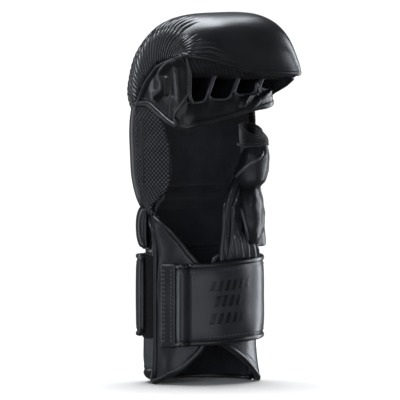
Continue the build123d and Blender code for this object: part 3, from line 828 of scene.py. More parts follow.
HOLLOW = (
    (97, ((-36, -16), (-39.5, 2), (-31, 18), (0, 29), (31, 18), (40, 2), (38, -8))),
    (110, ((-39, -11), (-38, 5), (-28, 20), (0, 27), (28, 20), (40, 4), (42, -6))),
    (124, ((-43, -3), (-38, 5), (-28, 18), (0, 24), (28, 18), (40, 5), (43, -3))),
    (138, ((-42, -12), (-39, 0), (-30, 11), (0, 14.5), (30, 12), (42, 2), (45, -4))),
    (150, ((-41, -18), (-41, -2), (-34, 8.5), (0, 12), (34, 9.5), (44, 2), (46, -2))),
    (169, ((-41, -18), (-42, -2), (-34, 9), (0, 12), (34, 10), (44, 3), (46, 0))),
    (190, ((-43, -12), (-42, 1), (-34, 9.5), (0, 12), (34, 10.5), (44, 5), (46, 2))),
    (204, ((-45, -6), (-42, 3), (-32, 9), (0, 11), (32, 10), (44, 6), (46, 4))),
)


def hollow_wall(z, across):
    heights = [h for h, _ in HOLLOW]
    return loft(heights, [p for _, p in HOLLOW], z, across)


def lining():
    """Ribbed cloth round the inside of the hand, with the crease over the wrist."""
    z = np.linspace(97, 203, 130)
    grid = hollow_wall(z, np.linspace(0, 1, 150))
    n = normals_of(grid)
    fold = 2.6 * bump(z, 141.5, 2.4) - 1.0 * bump(z, 136.0, 2.6) + 0.9 * bump(z, 124.0, 3.0)
    grid = grid + n * (fold[:, None] + 0.5 * wavy(grid, 18.0, 31))[..., None]
    cloth = panel("hand_lining", grid, 1.4, LINING, out=-1)
    place(cloth, KNUCKLES, "lining", "back_lining", "wrist_lining")


def wrist_pad():
    """Short crowned pad over the back of the wrist, with a piped seam."""
    z = np.linspace(99.5, 127.5, 60)
    angle = np.linspace(7, 173, 130)
    swell = np.sin(np.clip((z - 99.5) / 28.0, 0, 1) * math.pi) ** 0.45
    ends = np.minimum(1, np.minimum(angle - 7, 173 - angle) / 9.0) ** 0.5
    proud = 3.8 * swell[:, None] * ends[None, :]
    grid = ring((45.2, 35.6), angle[None, :], z[:, None])
    n = ring_normal((45.2, 35.6), angle)[None]
    gather = pleats(angle[None, :] * 0.8 + 0 * z[:, None], 3.4, grid, 41)[0] * step(0.75, 0.2, swell)[:, None]
    grid = grid + n * (proud - 0.5 * gather + 0.25 * wavy(grid, 11.0, 42))[..., None]
    pad = panel("wrist_pad_leather", grid, 2.4, COVER)
    place(pad, HAND, "leather", "wrist_pad_cover", "wrist_pad_foam")
    for height, name in ((98.6, "low"), (128.0, "high")):
        around = np.linspace(4, 176, 90)
        points = ring((44.6, 35.2), around, height + 0 * around)
        place(tube(f"wrist_pad_seam_{name}", points, ring_normal((44, 35), around), 1.8, 1.8, PIPING),
              HAND, "leather")
    z = np.linspace(CUFF_TOP - 2, 130, 40)
    angle = np.linspace(-3, 183, 90)
    wall = ring((41.8, 33.0), angle[None, :], z[:, None])
    place(panel("wrist_wall", wall, 2.0, COVER), HAND, "leather")


# ---- ball of the thumb ----
OPENING_EDGE = ((-8.6, -35.4, 90), (-8.4, -35.6, 96), (-6.8, -36.0, 111), (-5.8, -36.2, 127),
                (-3.0, -34.2, 133), (3.3, -30.0, 140), (10.2, -26.0, 146), (18.7, -21.0, 152),
                (27.5, -15.5, 157))
THUMB_SIDE = ((29, -32.6, 90), (28.5, -32.4, 97), (25.5, -30.4, 103), (21.5, -28.0, 110), (19.6, -25.6, 118),
              (19.4, -23.6, 127), (20.6, -21.0, 136), (23.0, -18.0, 144), (27.0, -15.0, 152),
              (31.0, -12.0, 156))


def thenar():
    """The leather over the ball of the thumb, from the flap up to the thumb, edged with two pipings."""
    edge, far = smooth_path(OPENING_EDGE, 110), smooth_path(THUMB_SIDE, 110)
    share = ease(60, 0.4)[None, :, None]
    grid = edge[:, None] + (far - edge)[:, None] * share
    rise = np.sin(np.linspace(0, math.pi, 110))[:, None] ** 0.6 * np.sin(math.pi * share[..., 0]) ** 0.8
    out = np.array([0.25, -0.97, 0.0])
    folds = 1.4 * wavy(grid * np.array([1.4, 1.4, 0.8]), 10.0, 51)
    folds += 1.1 * np.sin(TAU * (grid[..., 0] + 0.25 * grid[..., 2]) / 6.4) * step(110, 103, grid[..., 2])
    folds += 1.7 * wavy(grid, 7.0, 53) * bump(grid[..., 2], 121.0, 13.0)
    grid += out * (3.4 * rise + folds * rise ** 0.5)[..., None]
    n = normals_of(grid)
    place(panel("thenar_leather", grid, 2.4, STRAP, out=1 if n[55, 30, 1] < 0 else -1), HAND,
          "panel_leather", "thenar_panel")
    facing = np.tile([-0.35, -0.93, 0.0], (110, 1))
    inward = (far - edge) / np.linalg.norm(far - edge, axis=1, keepdims=True)
    rows = (("thenar_piping_outer", 0.0, 3.4, 0.4), ("thenar_piping_inner", 5.4, 2.4, 1.0))
    for k, (name, shift, width, proud) in enumerate(rows):
        points = edge + inward * shift
        points = points + out * (proud + 0.55 * shift * np.sin(np.linspace(0, math.pi, 110)) ** 0.6)[:, None]
        trim = tube(name, points, facing, width, 3.0, PIPING)
        place(trim, HAND, "binding", *(("thenar_panel_binding",) if k == 0 else ()))
    points = edge + inward * 2.8
    points = points + out * (1.9 + 0.9 * np.sin(np.linspace(0, math.pi, 110)) ** 0.6)[:, None]
    points = points[points[:, 2] < 148.0]          # above that the row would run inside the thumb
    place(stitches("thenar_stitches", points, facing[:len(points)], THREAD), HAND, "binding")


# ---- knuckle pad ----
SEAM = ((9.3, 197.0), (9.3, 203.0), (0.5, 218.0), (-10.7, 229.0), (-16.7, 233.0), (-29.7, 237.2),
        (-45.0, 240.8))
CROWN = ((33.5, 197.0), (34.0, 205.0), (31.0, 223.0), (20.0, 245.0), (1.0, 262.0), (-20.0, 268.6),
         (-37.0, 267.0), (-51.0, 260.0), (-59.5, 249.0), (-62.5, 238.0), (-61.5, 229.5))
PAD_HALF = 50.6
SEAM_ROWS = 330


def tip_slant(x):
    """How far the fingertip edge rises over its middle: it climbs to the little finger."""
    return through((-52, -40, -20, 0, 20, 40, 52), (12.0, 10.2, 5.0, 0.0, -2.0, -3.4, -3.2), x)


def pad_grid():
    seam = smooth_path(SEAM, SEAM_ROWS)
    crown = smooth_path(CROWN, SEAM_ROWS)
    share = np.linspace(0, 1, SEAM_ROWS)
    theta = math.pi * ease(130, 0.25)
    square = through((0.0, 0.12, 0.25, 0.45, 0.75, 1.0), (2.4, 3.2, 4.1, 4.0, 3.5, 3.1), share)
    power = (2 / square)[:, None]
    c, s = np.cos(theta)[None, :], np.abs(np.sin(theta))[None, :] ** power
    x = -(PAD_HALF + 0.9 * s) * np.sign(c) * np.abs(c) ** power
    yz = seam[:, None] + (crown - seam)[:, None] * s[..., None]
    grid = np.stack([x, yz[..., 0], yz[..., 1]], -1)
    index_side = np.interp(x, (-52, 52), (0.6, -15.2)) * (1 - s) * step(0.15, 1.0, share)[:, None]
    tips = tip_slant(x.ravel()).reshape(x.shape) * s * step(0.72, 1.0, share)[:, None]
    grid[..., 2] += index_side + tips
    return grid, share


def knuckle_pad():
    """One leather over knuckles and fingers, gathered into pleats all along both side seams."""
    plain, share = pad_grid()
    grid = plain
    n = -normals_of(grid)
    if n[SEAM_ROWS // 2, 65, 2] < 0:
        n = -n
    v = spans(grid)[1]
    away = np.minimum(v, v[:, -1:] - v)
    along = 70.0 * share[:, None] + 0 * away
    depth, chance = pleats(along, 2.15, grid, 61)
    front = step(0.55, 0.72, share)[:, None] * (0.25 + 0.65 * (v > v[:, -1:] / 2))
    reach = (28.0 + 38.0 * chance) * (1 - front)
    fade = step(1.0, 0.25, away / reach)
    soft = 0.4 * wavy(grid, 34.0, 64) + 0.2 * wavy(grid, 11.0, 65) * step(45, 10, away)
    full = step(0.0, 0.14, share)[:, None]
    swell = 1.0 * bump(away, 9.0, 8.0) * full - 1.6 * (1 - full)
    deep = 2.7 * (0.4 + 0.6 * full) * (1 - 0.6 * front)
    grid = grid + n * (soft - deep * depth * fade + swell)[..., None]
    pad = panel("knuckle_leather", grid[:, ::-1], 2.0, COVER)
    place(pad, KNUCKLES, "leather", "knuckle_cover", "knuckle_foam")

    for column, word, side in ((0, "little", -1), (-1, "index", 1)):
        path = smooth_path(plain[::6, column], 130)
        facing = np.tile([side * 0.9, -0.35, -0.3], (len(path), 1))
        path = path + np.array([side * 0.9, -1.5, -1.5])
        seam = tube(f"knuckle_seam_{word}", path, facing, 3.6, 3.4, COVER)
        place(seam, KNUCKLES, "leather")
    rim = smooth_path(grid[-1, ::3], 150) + np.array([0, 1.8, -0.6])
    out = rim - np.array([0, -25.0, 0])
    out[:, 2] = 0
    out /= np.linalg.norm(out, axis=1, keepdims=True)
    place(tube("fingertip_rim", rim, out, 4.6, 4.8, COVER, power=2.1, sides=18), FINGERS, "leather")


def underside():
    """Perforated lining over the fingers, from the fingertip rim back to the knuckles."""
    course = smooth_path(((-60.0, 230.5), (-52.0, 227.5), (-42.0, 223.5), (-33.0, 222.0), (-20.0, 223.5),
                          (-6.0, 220.5), (5.0, 212.0), (10.0, 202.0)), 90)
    x = np.linspace(-48, 48, 90)
    tip = step(-18, -60, course[:, 0])[:, None]
    grid = np.stack([
        x[None, :] + 0 * course[:, :1],
        course[:, :1] + (12.0 * (np.abs(x) / 48) ** 4)[None, :] * step(-30, -60, course[:, :1]),
        course[:, 1:] + tip_slant(x)[None, :] * tip * 0.92,
    ], -1)
    grid += normals_of(grid) * (0.5 * wavy(grid, 14.0, 71))[..., None]
    place(panel("finger_side_lining", grid, 1.6, HOLED), KNUCKLES, "perforated", "knuckle_lining")


# ---- cheeks, palm band and finger slots ----
LOWER_EDGE = ((-50.4, 8.5, 203.5), (-50.4, -4.9, 204.0), (-50.2, -16.7, 198.6), (-49.6, -28.5, 192.2),
              (-47.0, -38.5, 188.6), (-39.0, -43.6, 190.3), (-20.0, -44.3, 193.2), (3.0, -44.3, 198.2),
              (16.0, -43.8, 200.8), (27.0, -42.0, 202.0), (35.5, -37.2, 203.6), (40.5, -29.5, 205.3))
BAND_PLAN = ((-49.4, -29.0), (-47.6, -38.5), (-40.0, -43.6), (-20.0, -44.4), (3.0, -44.4), (18.0, -44.0),
             (27.0, -42.2), (35.5, -37.4), (40.6, -28.5))
DIVIDERS = (-28.0, -4.6, 18.4)
HOLE_FLOORS = (205.4, 207.0, 209.8, 213.2)


def rim_height(x):
    """The band's scalloped upper edge: low in each finger slot, high at each divider."""
    ends = (-49.6,) + DIVIDERS + (47.0,)
    z = np.full(np.shape(x), HOLE_FLOORS[0], float)
    for k, floor in enumerate(HOLE_FLOORS):
        inside = (x >= ends[k]) & (x <= ends[k + 1])
        t = (x - ends[k]) / (ends[k + 1] - ends[k])
        rise = np.abs(2 * t - 1) ** 4.0
        lift = 5.0
        z = np.where(inside, floor + lift * rise, z)
    return z


CHEEK_ROLL = ((-44.0, 237.0), (-31.0, 235.0), (-21.5, 229.0), (-19.3, 225.0), (-22.0, 220.0), (-21.0, 214.5),
              (-14.0, 209.5))                                    # (y, z) along each fold of the side panel
CHEEK_FOLD = ((-25.0, 223.0), (-25.8, 218.0), (-25.0, 212.5))
CHEEK_CORNER = ((-44.5, 209.0), (-41.5, 203.5), (-37.0, 196.5))
BAND_FOLDS = (((14.0, 212.0), (8.0, 208.0), (2.4, 203.0)),       # (x, z) along each fold of the palm band
              ((33.0, 212.0), (19.0, 206.5), (5.5, 198.0)))


def ridge(a, b, course, width):
    """Height, 0 to 1, of a fold that runs along a course of (a, b) points."""
    path = smooth_path(course, 40)
    gap = np.hypot(a[..., None] - path[:, 0], b[..., None] - path[:, 1]).min(axis=-1)
    return bump(gap, 0.0, width)


def cheeks():
    seam = smooth_path(SEAM[1:], 110)
    low = smooth_path([p[1:] for p in LOWER_EDGE[:5]] + [(-45.0, 206.0)], 110)
    share = np.linspace(0, 1, 80)[:, None, None]
    yz = low[None] + (seam - low)[None] * share
    y, z = yz[..., 0], yz[..., 1]
    corner = 5.2 * step(-36, -45, y) * (1 - 0.6 * step(226, 241, z))
    hollow = 2.2 * bump(y, -32.0, 8.0) * bump(z, 213.0, 14.0)
    swell = 1.3 * bump(y, -13.0, 5.0) * bump(z, 217.0, 7.0)
    raised = 2.6 * ridge(y, z, CHEEK_ROLL, 2.6) + 1.2 * ridge(y, z, CHEEK_FOLD, 1.3)
    raised = raised + 2.0 * ridge(y, z, CHEEK_CORNER, 1.9)
    x = -50.3 + corner + hollow - swell - raised - 0.25 * wavy(yz_to_points(0 * y, y, z), 11.0, 81)
    grid = np.stack([x, y, z], -1)
    place(panel("cheek_little", grid, 2.0, PANEL, out=cheek_out(grid, -1)), KNUCKLES,
          "panel_leather", "side_panel_little")
    front = np.array([(-42.0, -45.4, 205.2), (-45.0, -45.6, 210.5), (-45.2, -45.8, 220.0),
                      (-45.4, -45.8, 227.0), (-46.9, -45.8, 234.0), (-48.6, -45.4, 239.5)])
    path = smooth_path(front, 60)
    place(tube("cheek_little_piping", path, np.tile([-0.6, -0.8, 0.0], (60, 1)), 3.0, 3.2, PIPING),
          FINGERS, "binding")

    seam = smooth_path([(9.0, 203.0), (2, 214), (-10, 222), (-28, 224.5), (-46, 226)], 90)
    low = smooth_path([(9.0, 202.0), (-4, 204), (-14, 206.5), (-24, 211.2), (-30, 213.4), (-38, 216.7),
                       (-46, 221.5)], 90)
    share = np.linspace(0, 1, 50)[:, None, None]
    yz = low[None] + (seam - low)[None] * share
    y, z = yz[..., 0], yz[..., 1]
    x = 49.4 - 1.6 * share[..., 0] + 0.6 * wavy(yz_to_points(0 * y, y, z), 10.0, 82)
    grid = np.stack([x, y, z], -1)
    place(panel("cheek_index", grid, 2.0, PANEL, out=cheek_out(grid, 1)), KNUCKLES,
          "panel_leather", "side_panel_index")
    inner = grid - np.array([2.0, 0, 0])
    place(panel("cheek_index_lining", inner, 1.4, HOLED, out=cheek_out(grid, -1)), KNUCKLES, "perforated")
    edge = smooth_path(grid[0, 20:], 90)
    place(tube("cheek_index_piping", edge, np.tile([0.3, -0.5, -0.8], (90, 1)), 3.4, 3.4, PIPING),
          KNUCKLES, "binding")


def yz_to_points(x, y, z):
    return np.stack([x + 0 * y, y, z], -1)


def cheek_out(grid, side):
    """Which way a side panel's grid faces, as the sign that points it away from the hand."""
    n = normals_of(grid)
    return 1 if n[len(grid) // 2, grid.shape[1] // 2, 0] * side > 0 else -1


def palm_band():
    plan = smooth_path(BAND_PLAN, 260)
    edge = smooth_path(LOWER_EDGE, 400)
    bottom = np.interp(plan[:, 0], edge[120:, 0], edge[120:, 2])
    top = rim_height(plan[:, 0])
    share = np.linspace(0, 1, 26)[:, None]
    z = bottom + (top - bottom) * share
    swell = 1.3 * np.sin(share * math.pi)
    lean = 1.0 * step(200, 215, z)
    away = plan - np.array([0, -20.0])
    away /= np.linalg.norm(away, axis=1, keepdims=True)
    xy = plan[None] + away[None] * (swell - lean)[..., None]
    grid = np.concatenate([xy, z[..., None]], -1)
    n = normals_of(grid)
    out = 1 if n[13, 130, 1] < 0 else -1
    x = grid[..., 0]
    folds = 1.9 * sum(ridge(x, grid[..., 2], course, 1.9) for course in BAND_FOLDS)
    grid += n * out * ((folds + 0.4 * wavy(grid, 9.0, 91)) * step(39, 31, x))[..., None]
    place(panel("palm_band_leather", grid, 2.4, PANEL, out=out), FINGERS, "panel_leather", "palm_band")

    facing = np.column_stack([edge[:, 0] * 0.02, edge[:, 1] * 0.02 - 0.2, 0 * edge[:, 0]])
    facing[edge[:, 0] < -46] = (-1, -0.1, 0)
    facing = smooth_rows(facing, 25)
    place(tube("palm_band_piping", edge + facing * 0.5, facing, 4.6, 4.4, PIPING), KNUCKLES, "binding",
          "palm_band_binding")
    above = edge + np.array([0, 0, 3.9]) + facing * 1.3
    place(stitches("palm_band_stitches", above, facing, THREAD), KNUCKLES, "binding")

    rim = np.column_stack([plan + away * -0.6, top + 0.4])
    rim = smooth_path(rim[::3], 330)
    up = np.tile([0.0, -0.8, 0.6], (len(rim), 1))
    # The slot rims take the lighter rim leather, a painted highlight.
    place(tube("finger_slot_rims", rim, up, 2.2, 2.2, RIM_PAINTED_HIGHLIGHT), FINGERS, "binding", "finger_rim_binding")


def smooth_rows(values, width):
    """A running average along the first direction."""
    flat = np.asarray(values, float).reshape(len(values), -1)
    kernel = np.ones(width) / width
    wide = np.pad(flat, ((width // 2, width // 2), (0, 0)), mode="edge")
    out = np.stack([np.convolve(wide[:, k], kernel, "valid") for k in range(flat.shape[1])], 1)
    return out.reshape(np.shape(values))


def dividers():
    """Webs between the fingers, leaning over to the index side at the top."""
    for k, x0 in enumerate(DIVIDERS):
        floor = (HOLE_FLOORS[k] + HOLE_FLOORS[k + 1]) / 2
        share = np.linspace(0, 1, 50)
        z = floor - 4 + (226.0 - floor + 4) * share
        front = -43.2 + 4.0 * share ** 2
        back = -16.0 + 12.0 * step(0.3, 1.0, share)
        y = front[:, None] + (back - front)[:, None] * np.linspace(0, 1, 40)
        uneven = 0.7 * wavy(yz_to_points(0 * y, y, z[:, None] + 0 * y), 9.0, 95 + k)
        x = x0 + 11.0 * share[:, None] ** 1.8 + 1.5 * np.linspace(0, 1, 40) + uneven
        grid = np.stack([x, y, z[:, None] + 0 * y], -1)
        grid[..., 2] += 1.2 * wavy(grid, 12.0, 96)
        place(panel(f"finger_web_{k + 1}", grid, 3.0, PANEL, 3.0), FINGERS, "panel_leather",
              f"finger_divider_{k + 1}")
        path = smooth_path(np.column_stack([x[::7, 0], y[::7, 0] - 0.3, z[::7]]), 60)
        # The web's front edge takes the lighter rim leather, a painted highlight.
        place(tube(f"finger_web_edge_{k + 1}", path, np.tile([-0.2, -1.0, 0.3], (60, 1)), 3.2, 2.8, RIM_PAINTED_HIGHLIGHT),
              FINGERS, "binding")


# ---- thumb ----
THUMB_AT = np.array([31.5, -19.0])
THUMB_TURN = math.radians(52)
THUMB_ALONG = np.array([math.cos(THUMB_TURN), math.sin(THUMB_TURN), 0.0])
THUMB_OUT = np.array([math.sin(THUMB_TURN), -math.cos(THUMB_TURN), 0.0])
THUMB_FOOT = joint_point("thumb_swing")[2]
THUMB_FOLD = joint_point("thumb_bend")[2]
UP = np.array([0.0, 0.0, 1.0])
AT_THUMB_FOOT = (HAND, THUMB_LOW, (*THUMB_AT, THUMB_FOOT - 3.0), (*THUMB_AT, THUMB_FOOT + 7.0))
AT_THUMB_FOLD = (THUMB_LOW, THUMB_TIP, (*THUMB_AT, THUMB_FOLD - 4.0), (*THUMB_AT, THUMB_FOLD + 6.0))


def thumb_tube(z, turn, outside, palm_side, half_width, front=0.0):
    """Points round the thumb: outside and palm_side are its reach either way from its middle line.

    front is added to half_width on the side that faces the palm's opening.
    """
    c, s = np.cos(turn), np.sin(turn)
    power = 2 / 2.3
    reach = np.where(c > 0, outside, palm_side)
    across = np.sign(c) * np.abs(c) ** power * reach
    along = np.sign(s) * np.abs(s) ** power * np.where(s < 0, half_width + front, half_width)
    flat = across[..., None] * THUMB_OUT + along[..., None] * THUMB_ALONG
    points = flat + np.array([*THUMB_AT, 0.0])
    points[..., 2] = z
    return points


def thumb_sleeve(name, low, high, profile, rows, material, seed, inner, rough=0.5, mouth=0.0, seam=None):
    """A closed padded tube round the thumb.

    profile gives thumb_tube's sizes by height, inner the same for the hollow, and mouth how far
    the upper edge dips where it faces the palm's opening. On the palm's side of a seam, given as
    (height, turn) points, the tube is pulled in.
    """
    z = np.linspace(low, high, rows)
    turn = np.linspace(0, TAU, 120, endpoint=False)
    shape = through([p[0] for p in profile], [p[1:] for p in profile], z)
    share = ((z - low) / (high - low))[:, None] ** 1.5
    heights = z[:, None] - mouth * share * ((0.5 + 0.5 * np.cos(turn + math.pi / 4)) ** 1.4)[None, :]
    around = turn[None, :] + 0 * z[:, None]
    outer = thumb_tube(heights, around, *np.split(shape, shape.shape[1], axis=1))
    n = normals_of(outer, around=True)
    if (n[rows // 2, 0] @ THUMB_OUT) < 0:
        n = -n
    outer = outer + n * (rough * wavy(outer, 9.0, seed))[..., None]
    if seam is not None:
        line = through([p[0] for p in seam], [p[1] for p in seam], np.clip(z, seam[0][0], seam[-1][0]))
        past = np.mod(turn - math.pi / 2, TAU)[None, :] + math.pi / 2 - line[:, None]
        outer = outer - n * (2.6 * step(0.12, -0.2, past))[..., None]
    hollow = thumb_tube(heights, around, *(size + 0 * z[:, None] for size in inner))
    count = rows * len(turn)
    verts = np.vstack([outer.reshape(-1, 3), hollow.reshape(-1, 3)])
    faces = [quads(rows, 120, close_cols=True), quads(rows, 120, close_cols=True, offset=count, flip=True)]
    k = np.arange(120)
    m = (k + 1) % 120
    last = (rows - 1) * 120
    faces.append(np.stack([k, m, count + m, count + k], 1))
    faces.append(np.stack([last + m, last + k, count + last + k, count + last + m], 1))
    uv = np.stack([np.tile(15.0 * turn, rows), np.repeat(z, 120)], 1)
    return new_piece(name, verts, np.vstack(faces), material, np.vstack([uv, uv]))


THUMB_BASE = (
    (99, 6.0, 11.0, 14.0, -2.0), (101, 7.0, 12.0, 15.0, 3.4), (104.5, 8.4, 13.0, 16.0, 7.2),
    (109, 9.9, 13.6, 17.0, 9.4), (115, 10.8, 14.0, 17.6, 10.4), (122, 10.8, 14.2, 17.6, 10.4),
    (131, 9.8, 13.8, 16.6, 9.0), (137, 8.4, 12.8, 15.2, 6.0), (141.5, 7.2, 11.8, 14.2, 1.0),
)
THUMB_END = (
    (139.5, 7.0, 12.6, 14.2, 0.0), (142.5, 8.4, 14.0, 15.0, 3.0), (146, 10.8, 14.6, 16.0, 5.0),
    (152, 13.0, 13.8, 16.6, 6.0), (160, 14.2, 11.2, 16.8, 5.0), (167, 14.0, 9.4, 16.4, 3.0),
    (171, 12.8, 8.4, 15.4, 1.0), (173.5, 11.4, 8.0, 14.4, 0.0),
)
THUMB_MOUTH = ((172, 11.8, 8.0, 14.2), (174, 13.2, 8.2, 14.8), (178, 13.0, 8.2, 14.6), (183, 11.6, 8.0, 14.0),
               (187.5, 9.4, 7.8, 13.4))
FOLD_LOW, FOLD_HIGH = 129.0, 152.0           # the leather inside the fold between the two pads
FOLD = ((129, 7.2, 12.4, 14.4, 0.0), (136, 6.8, 11.4, 13.8, 0.0), (145, 6.8, 11.4, 13.8, 0.0),
        (152, 7.6, 12.0, 14.4, 0.0))
FOLD_HOLLOW = (6.0, 9.6, 12.4)
BASE_SEAM = ((104.5, 4.63), (112, 4.55), (121.5, 4.4), (127.5, 4.2), (130.5, 3.75))
TIP_SEAM = ((141.5, 3.3), (146, 3.5), (150.5, 3.95), (156, 4.35), (160, 4.71), (164.5, 5.3), (168.5, 5.8))
BASE_HOLLOW, END_HOLLOW = (5.2, 10.8, 11.6), (6.6, 6.4, 11.6)


def thumb():
    """Padded base and tip sections, the fold between them and the elastic round the tip."""
    lower = thumb_sleeve("thumb_base_pad", 99, 141.5, THUMB_BASE, 100, THUMB, 101, BASE_HOLLOW, 1.0,
                         seam=BASE_SEAM)
    place(lower, AT_THUMB_FOOT, "leather", "thumb_base_cover", "thumb_base_foam")
    upper = thumb_sleeve("thumb_tip_pad", 139.5, 173.5, THUMB_END, 90, THUMB, 103, END_HOLLOW, 1.0,
                         seam=TIP_SEAM)
    place(upper, AT_THUMB_FOLD, "leather", "thumb_tip_cover", "thumb_tip_foam")
    fold = thumb_sleeve("thumb_fold_leather", FOLD_LOW, FOLD_HIGH, FOLD, 60, THUMB, 109, FOLD_HOLLOW, 0.15)
    place(fold, (THUMB_LOW, THUMB_TIP, (*THUMB_AT, FOLD_LOW + 1), (*THUMB_AT, FOLD_HIGH - 1)), "leather")
    for name, low, high, hollow, bend, node in (
        ("thumb_base_sleeve", 98, 141, BASE_HOLLOW, AT_THUMB_FOOT, "thumb_base_lining"),
        ("thumb_tip_sleeve", 140, 176, END_HOLLOW, AT_THUMB_FOLD, "thumb_tip_lining"),
    ):
        sleeve = [(z, *(size + 0.6 for size in hollow)) for z in (low, high)]
        place(thumb_sleeve(name, low, high, sleeve, 40, LINING, 105, [v - 0.6 for v in hollow], 0.2),
              bend, "lining", node)
    place(thumb_sleeve("thumb_elastic", 172, 187.5, THUMB_MOUTH, 60, ELASTIC, 107, END_HOLLOW, 0.9, 9.0),
          THUMB_TIP, "elastic", "thumb_loop")
    turn = np.linspace(0, TAU, 100, endpoint=False)
    dip = 9.0 * (0.5 + 0.5 * np.cos(turn + math.pi / 4)) ** 1.4
    for name, z, size in (("thumb_tip_seam", 173.0 + 0 * turn, (12.6, 8.6, 14.9)),
                          ("thumb_mouth_hem", 187.8 - dip, (8.9, 7.4, 12.8))):
        hoop = thumb_tube(z, turn, size[0], size[1], size[2] + 0 * turn)
        hoop = hoop + off_thumb(hoop) * (0.7 * wavy(hoop, 5.0, 113))[:, None]
        place(tube(name, hoop, off_thumb(hoop), 1.8, 1.8, ELASTIC, closed=True), THUMB_TIP, "binding")
    sewn("thumb_base_seam", BASE_SEAM, THUMB_BASE, AT_THUMB_FOOT)
    sewn("thumb_tip_seam_diagonal", TIP_SEAM, THUMB_END, AT_THUMB_FOLD)


def off_thumb(points):
    """Level directions pointing away from the thumb's middle line."""
    facing = points - np.array([*THUMB_AT, 0.0])
    facing[:, 2] = 0
    return facing / np.linalg.norm(facing, axis=1, keepdims=True)


def sewn(name, course, profile, bend):
    """A piped seam up the thumb, through (height, turn in radians) points."""
    path = smooth_path(course, 60)
    shape = through([p[0] for p in profile], [p[1:] for p in profile], path[:, 0])
    sunk = 0.3 + 3.0 * step(0.75, 1.0, np.linspace(0, 1, len(path)))
    points = thumb_tube(path[:, 0], path[:, 1], *(shape[:, :3].T - sunk), shape[:, 3])
    # The seam takes the lighter rim leather, a painted highlight.
    place(tube(name, points, off_thumb(points), 2.5, 2.4, RIM_PAINTED_HIGHLIGHT), bend, "leather")


def thumb_root():
    """The leather bridge from the hand's index side round to the thumb's foot."""
    z = np.linspace(99, 152, 70)
    plan = (((8.0, -35.0), (22.0, -33.5), (38.0, -27.0), (46.5, -12.0), (46.5, 4.0)),
            ((8.5, -35.0), (22.0, -33.0), (37.0, -27.0), (46.0, -12.0), (47.0, 5.0)),
            ((16.0, -31.0), (26.0, -29.5), (37.0, -24.0), (45.5, -10.0), (49.0, 7.0)),
            ((24.0, -25.0), (30.0, -23.5), (38.0, -18.0), (45.0, -7.0), (49.8, 8.0)))
    grid = loft((99, 112, 135, 152), plan, z, np.linspace(0, 1, 80))
    grid += normals_of(grid) * (0.6 * wavy(grid, 10.0, 111))[..., None]
    place(panel("thumb_root_leather", grid, 2.0, PANEL, 3.0), HAND, "panel_leather")


# ---- the shot ----
def room():
    floor = bpy.data.meshes.new("floor")
    reach = 30.0
    corners = ((-reach, -reach), (reach, -reach), (reach, reach), (-reach, reach))
    floor.from_pydata([(x, y, 0.0) for x, y in corners], [], [(0, 1, 2, 3)])
    paper = Look("studio_floor", 0.75)
    paper.colour(paper.ramp(paper.noise(400.0, 2), (0.4, (0.93, 0.93, 0.93)), (0.6, (0.95, 0.95, 0.95))))
    floor.materials.append(paper.material)
    ground = bpy.data.objects.new("floor", floor)
    bpy.context.scene.collection.objects.link(ground)
    ground.visible_glossy = False

    world = bpy.data.worlds.new("studio")
    bpy.context.scene.world = world
    world.use_nodes = True
    tree = world.node_tree
    tree.nodes.clear()
    seen = tree.nodes.new("ShaderNodeLightPath")
    white, grey = (feed(tree.nodes.new("ShaderNodeBackground"), {"Color": (s, s, s, 1), "Strength": p})
                   for s, p in ((1.0, 1.0), (1.0, 0.07)))
    mix = tree.nodes.new("ShaderNodeMixShader")
    out = tree.nodes.new("ShaderNodeOutputWorld")
    tree.links.new(seen.outputs["Is Camera Ray"], mix.inputs[0])
    tree.links.new(grey.outputs[0], mix.inputs[1])
    tree.links.new(white.outputs[0], mix.inputs[2])
    tree.links.new(mix.outputs[0], out.inputs["Surface"])


def softbox(name, place_m, target_m, size_m, watts, reflected=True):
    """An area light: reflected ones only show in the leather's gloss, the others only light its colour."""
    light = bpy.data.lights.new(name, "AREA")
    light.shape = "RECTANGLE"
    light.size, light.size_y = size_m
    light.energy = watts
    light.color = COOL
    obj = bpy.data.objects.new(name, light)
    obj.location = place_m
    obj.rotation_euler = (Vector(target_m) - Vector(place_m)).to_track_quat("-Z", "Y").to_euler()
    obj.visible_diffuse = not reflected
    obj.visible_glossy = reflected
    bpy.context.scene.collection.objects.link(obj)


COOL = (0.88, 0.93, 1.0)
AZIMUTH, ELEVATION = math.radians(-38.0), math.radians(3.0)
RIGHT = np.array([math.cos(AZIMUTH), math.sin(AZIMUTH), 0.0])
BACK = np.array([math.sin(AZIMUTH) * math.cos(ELEVATION), -math.cos(AZIMUTH) * math.cos(ELEVATION),
                 math.sin(ELEVATION)])


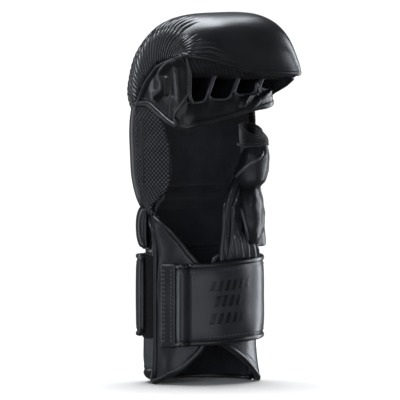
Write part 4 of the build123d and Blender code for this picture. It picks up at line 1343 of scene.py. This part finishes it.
def lights():
    """A soft sky from just behind, softboxes for the leather's gloss and a low front glow."""
    middle = np.array([0.0, 0.0, 0.14])
    side = BACK * np.array([1, 1, 0])
    for name, right, front, up, size, watts in (
        ("overhead", -0.15, -0.45, 0.80, (0.90, 0.30), 8.0),
        ("left_strip", -0.75, -0.42, 0.05, (0.20, 0.90), 1.4),
        ("left_side", -0.97, 0.26, 0.10, (0.12, 0.60), 0.8),
        ("right_strip", 0.66, -0.58, 0.05, (0.20, 0.80), 3.6),
        ("left_key", -0.75, 0.30, 0.85, (0.40, 0.25), 7.0),
        ("right_key", 0.95, -0.25, 0.10, (0.16, 0.50), 1.4),
        ("front_key", 0.05, 0.90, 0.95, (0.25, 0.25), 1.8),
        ("floor_card", 0.10, 0.55, -0.125, (0.70, 0.35), 0.8),
        ("front_fill", -0.90, 1.60, 0.50, (0.60, 0.60), 1.1),
    ):
        softbox(name, middle + RIGHT * right + side * front + UP * up, middle, size, watts)
    softbox("front_glow", middle + side * 1.9 - RIGHT * 0.4, middle, (1.2, 1.2), 34.0, reflected=False)
    sky = bpy.data.lights.new("sky", "SUN")
    sky.energy = 3.9
    sky.angle = math.radians(52)
    sky_light = bpy.data.objects.new("sky", sky)
    sky_light.rotation_euler = Vector(UP - side * 0.26).to_track_quat("Z", "Y").to_euler()
    sky_light.visible_glossy = False
    bpy.context.scene.collection.objects.link(sky_light)


def camera():
    lens = bpy.data.cameras.new("camera")
    lens.sensor_width = 36.0
    lens.lens = 1000.0
    frame_width = 0.2912
    distance = frame_width * lens.lens / lens.sensor_width
    obj = bpy.data.objects.new("camera", lens)
    target = np.array([0.0, 0.0, 0.1325])
    obj.location = target + BACK * distance
    obj.rotation_euler = Vector(BACK).to_track_quat("Z", "Y").to_euler()
    bpy.context.scene.collection.objects.link(obj)
    bpy.context.scene.camera = obj
    bpy.context.scene.view_settings.view_transform = "Standard"


def finish_cad_nodes():
    """The hook patch stays as the CAD piece and gets its real finish."""
    materials = frame["nodes"]["hook_patch"].data.materials
    materials.clear()
    materials.append(HOOK)


cuff()
flaps()
strap()
back_of_hand()
gussets()
lining()
wrist_pad()
thenar()
knuckle_pad()
underside()
cheeks()
palm_band()
dividers()
thumb()
thumb_root()
finish_cad_nodes()
room()
lights()
camera()
